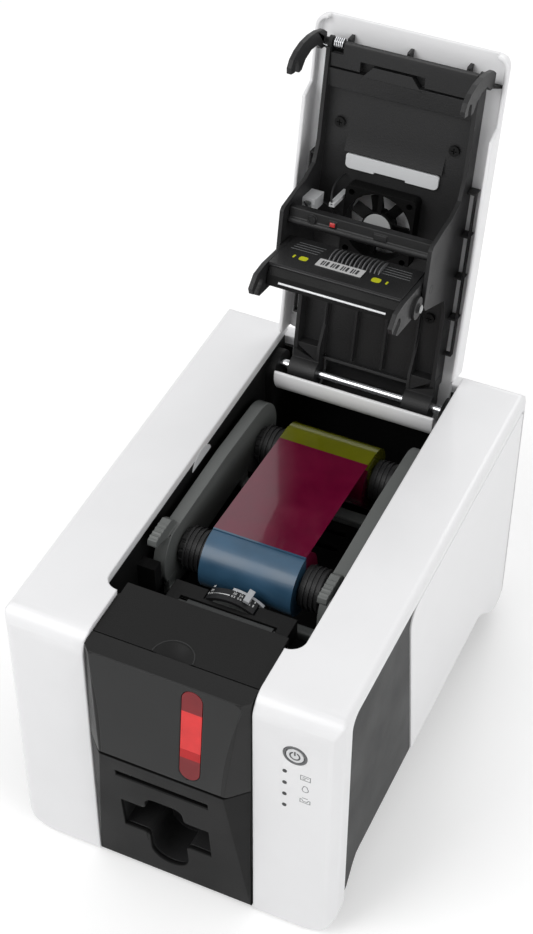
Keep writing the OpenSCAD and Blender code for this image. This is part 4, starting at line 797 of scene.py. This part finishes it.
# %% [markdown]
# ### Figures on the thickness dial
# The dial tells how thick the cards in the hopper are. Its figures follow the arc: each is a small text
# that is turned into a mesh and laid on the curve. A tapering bar between them shows thin to thick.
# %% Dial figures
dial_x, dial_z, dial_r = -0.0015, 0.1384, 0.028
dial_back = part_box("thickness_scale")[1].y
tick_row, upper_row, lower_row = dial_back - 0.0028, dial_back - 0.0048, dial_back - 0.0073


def on_dial(piece, name, angle, y):
    """Lays a flat piece on the dial, that many degrees to the right of its top."""
    turn = math.radians(angle)
    reach = dial_r + ink_lift
    piece.location = (dial_x + reach * math.sin(turn), y, dial_z + reach * math.cos(turn))
    piece.rotation_euler = (0, turn, 0)
    settle(piece, name, "ink_white", "base")


def figure(words, size):
    """A text as a thin mesh around the origin. Size is in metres."""
    start_clean()
    bpy.ops.object.text_add(location=(0, 0, 0))
    text = bpy.context.object.data
    text.body = words
    text.size = size
    text.align_x = "CENTER"
    text.align_y = "CENTER"
    text.extrude = ink_height / 2
    bpy.ops.object.convert(target="MESH")
    return bpy.context.object


for angle, upper, lower in ((-29, "10", "0.25"), (1.5, "20", "0.5"), (9.5, "24", "0.6"), (20.5, "30", "0.76")):
    tag = lower.replace(".", "_")
    on_dial(figure(upper, 0.0024), "dial_upper_" + tag, angle, upper_row)
    on_dial(figure(lower, 0.0022), "dial_lower_" + tag, angle, lower_row)
    if angle > 0:
        on_dial(bar(0.0003, 0.0010), "dial_tick_" + tag, angle, tick_row)
for step in range(9):
    width, angle = 0.00020 + 0.00008 * step, -23.5 + 2.4 * step
    on_dial(bar(0.0012, width), "dial_taper_%d" % step, angle, lower_row)
unit_right, unit_left = 27.5, -29
for step, (length, back) in enumerate(((0.0015, 0.0038), (0.0020, 0.0066))):
    on_dial(bar(0.0007, length), "dial_unit_%d" % step, unit_right, dial_back - back)
    on_dial(bar(0.0014, 0.0005), "dial_unit_left_%d" % step, unit_left, dial_back - 0.0010 - 0.0008 * step)
print("dial rows at y", [round(row / mm, 1) for row in (tick_row, upper_row, lower_row)], "mm")


# %% [markdown]
# ### The lip of the finger scoop
# A thin raised lip runs around the half-moon scoop in the deck, where a finger pulls the door open. It is a
# small profile that is spun half a turn about the scoop's middle. Its black is lighter and glossier than the
# deck's, a painted highlight along the scoop's rim.
# %% Lip of the scoop
scoop = Vector((-0.0020, -0.1370, 0.1900))
scoop_radius, lip_radius = 0.0122, 0.00038
start_clean()
bpy.ops.mesh.primitive_circle_add(
    vertices=8, radius=lip_radius, fill_type="NGON", location=(scoop_radius, 0, 0), rotation=(math.pi / 2, 0, 0),
)
lip = bpy.context.object
bpy.ops.object.transform_apply(location=True, rotation=True, scale=True)
edit_all()
bpy.ops.mesh.spin(steps=24, angle=-math.pi, center=(0, 0, 0), axis=(0, 0, 1))
bpy.ops.mesh.select_all(action="SELECT")
bpy.ops.mesh.normals_make_consistent(inside=False)
round_off(50)
lip.location = scoop
# front_black is lighter than the deck's black: a painted highlight along the rim.
settle(lip, "scoop_lip", "front_black", "base")
print("scoop lip around x", round(scoop.x / mm, 1), "mm")


# %% [markdown]
# ### The label on the fan
# A round grey label lies on the hub plate of the fan. It is a disc with a small step at its rim, which is
# inset and pushed in, so that its edge shows as a fine line. Its middle gets such a step the other way.
# %% Fan label
fan_hub = (-0.002, 0.0114, 0.17255)
label_radius = 0.0088
start_clean()
bpy.ops.mesh.primitive_cylinder_add(vertices=40, radius=label_radius, depth=0.0004, location=fan_hub)
label = bpy.context.object
bpy.ops.object.mode_set(mode="EDIT")
pick_faces(label, lambda c, n: n.z < -0.9)
for border, step in ((0.0003, 0.0001), (0.0055, 0), (0.0002, -0.0001)):
    bpy.ops.mesh.inset(thickness=border, depth=step)
bpy.ops.object.mode_set(mode="OBJECT")
settle(label, "fan_label", "label_grey", "lid", lid=True)
print("fan label radius", round(label_radius / mm, 1), "mm")


# %% [markdown]
# ### Wires in the lid
# Thin wires run from the plug block down to the bar and across to the fan. A wire is a curve with a round
# bevel that becomes a mesh at the end, because a curve bends smoothly with only a few points. A new path has
# five points, so every wire is laid through five.
# %% Wires
def wire(name, points, radius, finish, body):
    """A wire of one smooth curve through five points, which are in millimetres, with the lid shut."""
    start_clean()
    bpy.ops.curve.primitive_nurbs_path_add()
    curve = bpy.context.object.data
    spline = curve.splines[0]
    for knot, point in zip(spline.points, points):
        knot.co = (*[v * mm for v in point], 1)
    spline.use_endpoint_u = True
    spline.order_u = 3
    curve.resolution_u = 4
    curve.bevel_depth = radius
    curve.bevel_resolution = 2
    curve.use_fill_caps = True
    bpy.ops.object.convert(target="MESH")
    bpy.ops.object.shade_smooth()
    settle(bpy.context.object, name, finish, body, lid=True)


wire_points = {
    "wire_plug_a": [(-45.5, 1, 156.5), (-43.5, 2, 151), (-39.5, 1, 147), (-37, -1, 143.1), (-36.5, -1, 140.5)],
    "wire_plug_b": [(-43.5, -1, 156.5), (-40.5, -1, 152), (-37.5, -2, 148), (-34.5, -2, 143.5), (-34, -2, 140.5)],
    "wire_plug_c": [(-41.5, 2, 170), (-37.5, 4, 174), (-34, 9, 177), (-31, 15, 180), (-28, 19, 181.5)],
    "wire_fan": [(-27.5, -1.8, 160), (-29.5, -5, 163), (-31, -9, 169), (-30.5, -12.5, 176), (-29, -13, 182)],
}
for name, points in wire_points.items():
    wire(name, points, 0.00065, "wire_black", "lid")
print("wires:", len(wire_points))


# %% [markdown]
# ### The bar over the print head
# A push switch with a raised rim and a red part under a small window sit on the underside of the bar.
# %% Switch rim and red part
bar_low = 0.1354
ring("switch_rim", inner=0.0017, outer=0.0026, height=0.0009, chamfer=0.0002,
     place=(-0.030, -0.0015, bar_low - 0.0001), turn=(math.pi, 0, 0),
     finish="sensor_grey", body="lid", lid=True)
start_clean()
bpy.ops.mesh.primitive_cube_add(size=1, location=(-0.0168, -0.0018, bar_low + 0.0002))
red = bpy.context.object
red.scale = (0.0032, 0.0026, 0.0012)
bpy.ops.object.transform_apply(location=False, rotation=False, scale=True)
bpy.ops.object.mode_set(mode="EDIT")
pick_faces(red, lambda c, n: n.z < -0.9)
bpy.ops.mesh.inset(thickness=0.0004, depth=0)
push(-0.0003)
bpy.ops.mesh.select_all(action="SELECT")
bpy.ops.mesh.bevel(offset=0.00015, segments=2)
bpy.ops.object.mode_set(mode="OBJECT")
settle(red, "sensor_red", "part_red", "lid", lid=True)
print("switch and red part at z", round(bar_low / mm, 1), "mm")


# %% [markdown]
# ### Spring
# A spring turns the hooks back. Its coil is a solid, and the bright leg that reaches the left hook is a wire.
# %% Spring leg
spring_points = [
    (-47, -90.5, 179), (-51, -91.2, 178.8), (-54.5, -91.5, 177.5), (-57, -90.5, 176), (-57.2, -89, 175.2),
]
wire("hook_spring_leg", spring_points, 0.0003, "steel", "latch")
print("spring leg on the left hook")


# %% [markdown]
# ### Marks on the print head's cover
# The cover of the print head carries a plain white label with dark bars, fine grey stripes beside it, and a
# yellow mark with a small bar on either side. All of it is ink or paper, so each mark is a thin flat piece.
# %% Label, stripes and marks
face_y, label_z = 0.0146, 117.4
label_lift, label_bar_lift = 0.62 * mm, 0.74 * mm


def on_head(piece, name, finish, x, z, lift=ink_lift):
    """Lays a flat piece on the upper face of the print head's cover, at x and z in millimetres."""
    piece.rotation_euler = facing_front
    piece.location = (x * mm, face_y - lift, z * mm)
    settle(piece, name, finish, "head", lid=True)


for name, width, height, x, z in (
    ("mark_left", 5.2, 5.2, -25.5, 117.0),
    ("mark_left_bar", 1.2, 3.6, -31.5, 117.2),
    ("mark_right", 5.6, 5.6, 20.5, 116.0),
    ("mark_right_bar", 1.2, 3.6, 27.0, 116.2),
):
    on_head(bar(width * mm, height * mm), name, "ink_yellow", x, z)
label = bar(0.0286, 0.0096, height=0.0001, corner=0.06)
on_head(label, "head_label", "label_white", -2.5, label_z, label_lift)
for number, x in enumerate((-11.8, -5.6, 0.6, 6.8)):
    for k, (offset, width) in enumerate(((-2.0, 0.0009), (-0.6, 0.0007), (1.2, 0.0014))):
        name = "label_bar_%d_%d" % (number, k)
        on_head(bar(width, 0.0056), name, "ink_dark", x + offset, label_z, label_bar_lift)
for k in range(4):
    z = 126.2 + 3.0 * k
    on_head(bar(0.0170, 0.0005), "stripe_left_%d" % k, "ink_grey", -29.0 + 0.6 * k, z)
    on_head(bar(0.0190, 0.0005), "stripe_right_%d" % k, "ink_grey", 28.0 - 0.6 * k, z)
marks = [o.name for o in bpy.data.objects if o.name.startswith(("stripe", "label_bar", "mark"))]
print("marks on the head:", len(marks))


# %% [markdown]
# ### Fins of the head
# Thin arched fins stand side by side on the cover and look like a fan of arcs from above. They are one flat
# plate that is extruded and repeated.
# %% Fins
def plate(points, thick):
    """A flat plate of an outline in the XY plane, standing on its underside."""
    piece = drawn(points)
    push(thick)
    bpy.ops.mesh.select_all(action="SELECT")
    bpy.ops.mesh.normals_make_consistent(inside=False)
    bpy.ops.mesh.bevel(offset=0.00012, segments=1)
    bpy.ops.object.mode_set(mode="OBJECT")
    return piece


fin_count, fin_thick, first_fin_x, fin_spacing = 13, 0.0006, -0.0125, 0.0026
fin_shape = [
    (0.0150, 0.1225), (0.0131, 0.1245), (0.0121, 0.1275), (0.0119, 0.1310),
    (0.0122, 0.1345), (0.0130, 0.1375), (0.0150, 0.1400),
]
upright = (math.pi / 2, 0, math.pi / 2)
for k in range(fin_count):
    fin = plate(fin_shape, fin_thick)
    fin.rotation_euler = upright
    fin.location = (first_fin_x + fin_spacing * k, 0, 0)
    settle(fin, "head_fin_%d" % k, "fin_grey", "head", lid=True)
print("fins:", fin_count)


# %% [markdown]
# ### Print line, guide rod and caps
# The line that prints is a bright glazed bead along the head's lower edge, and a polished rod guides the film
# in front of it. Both are straight wires. A round cap closes the head's cover at either end: it is half a
# ball that is pressed flat.
# %% Bead, rod and caps
fifths = (-1, -0.5, 0, 0.5, 1)
wire("print_bead", [(33.5 * step, 25.9, 101.45) for step in fifths], 0.00070, "bead_white", "head")
wire("guide_rod", [(40.4 * step, 16.0, 103.6) for step in fifths], 0.0009, "rod_black", "head")
cap_radius, cap_flatness = 0.0026, 0.35
for side, word in ((-1, "left"), (1, "right")):
    start_clean()
    bpy.ops.mesh.primitive_uv_sphere_add(segments=24, ring_count=12, radius=cap_radius)
    cap = bpy.context.object
    edit_all()
    bpy.ops.mesh.bisect(plane_co=(0, 0, 0), plane_no=(side, 0, 0), clear_inner=True, use_fill=True)
    bpy.ops.mesh.select_all(action="SELECT")
    bpy.ops.transform.resize(value=(cap_flatness, 1, 1))
    round_off(50)
    cap.location = (side * 0.0473, 0.0270, 0.1200)
    settle(cap, "cap_centre_" + word, "label_grey", "head", lid=True)
print("bead, rod and two caps of radius", round(cap_radius / mm, 1), "mm")


# %% [markdown]
# ### The white grip in the bay
# A small white half-moon lies flat on the left wall of the bay, beside the cassette. It is a flat plate
# whose outline runs along an arc and back along its chord.
# %% Half-moon on the bay wall
bay_wall_x, moon_y, moon_z, moon_reach, moon_height = -0.0604, 0.0175, 0.1805, 0.0125, 0.0085
arc = [math.radians(4 + 172 * i / 12) for i in range(13)]
moon = [(moon_y + moon_reach * math.cos(a), moon_z + moon_height * math.sin(a)) for a in arc]
half_moon = plate(moon, 0.0006)
half_moon.rotation_euler = upright
half_moon.location = (bay_wall_x, 0, 0)
settle(half_moon, "bay_half_moon", "white_plastic", "base")
print("half-moon", round(2 * moon_reach / mm, 1), "mm long")
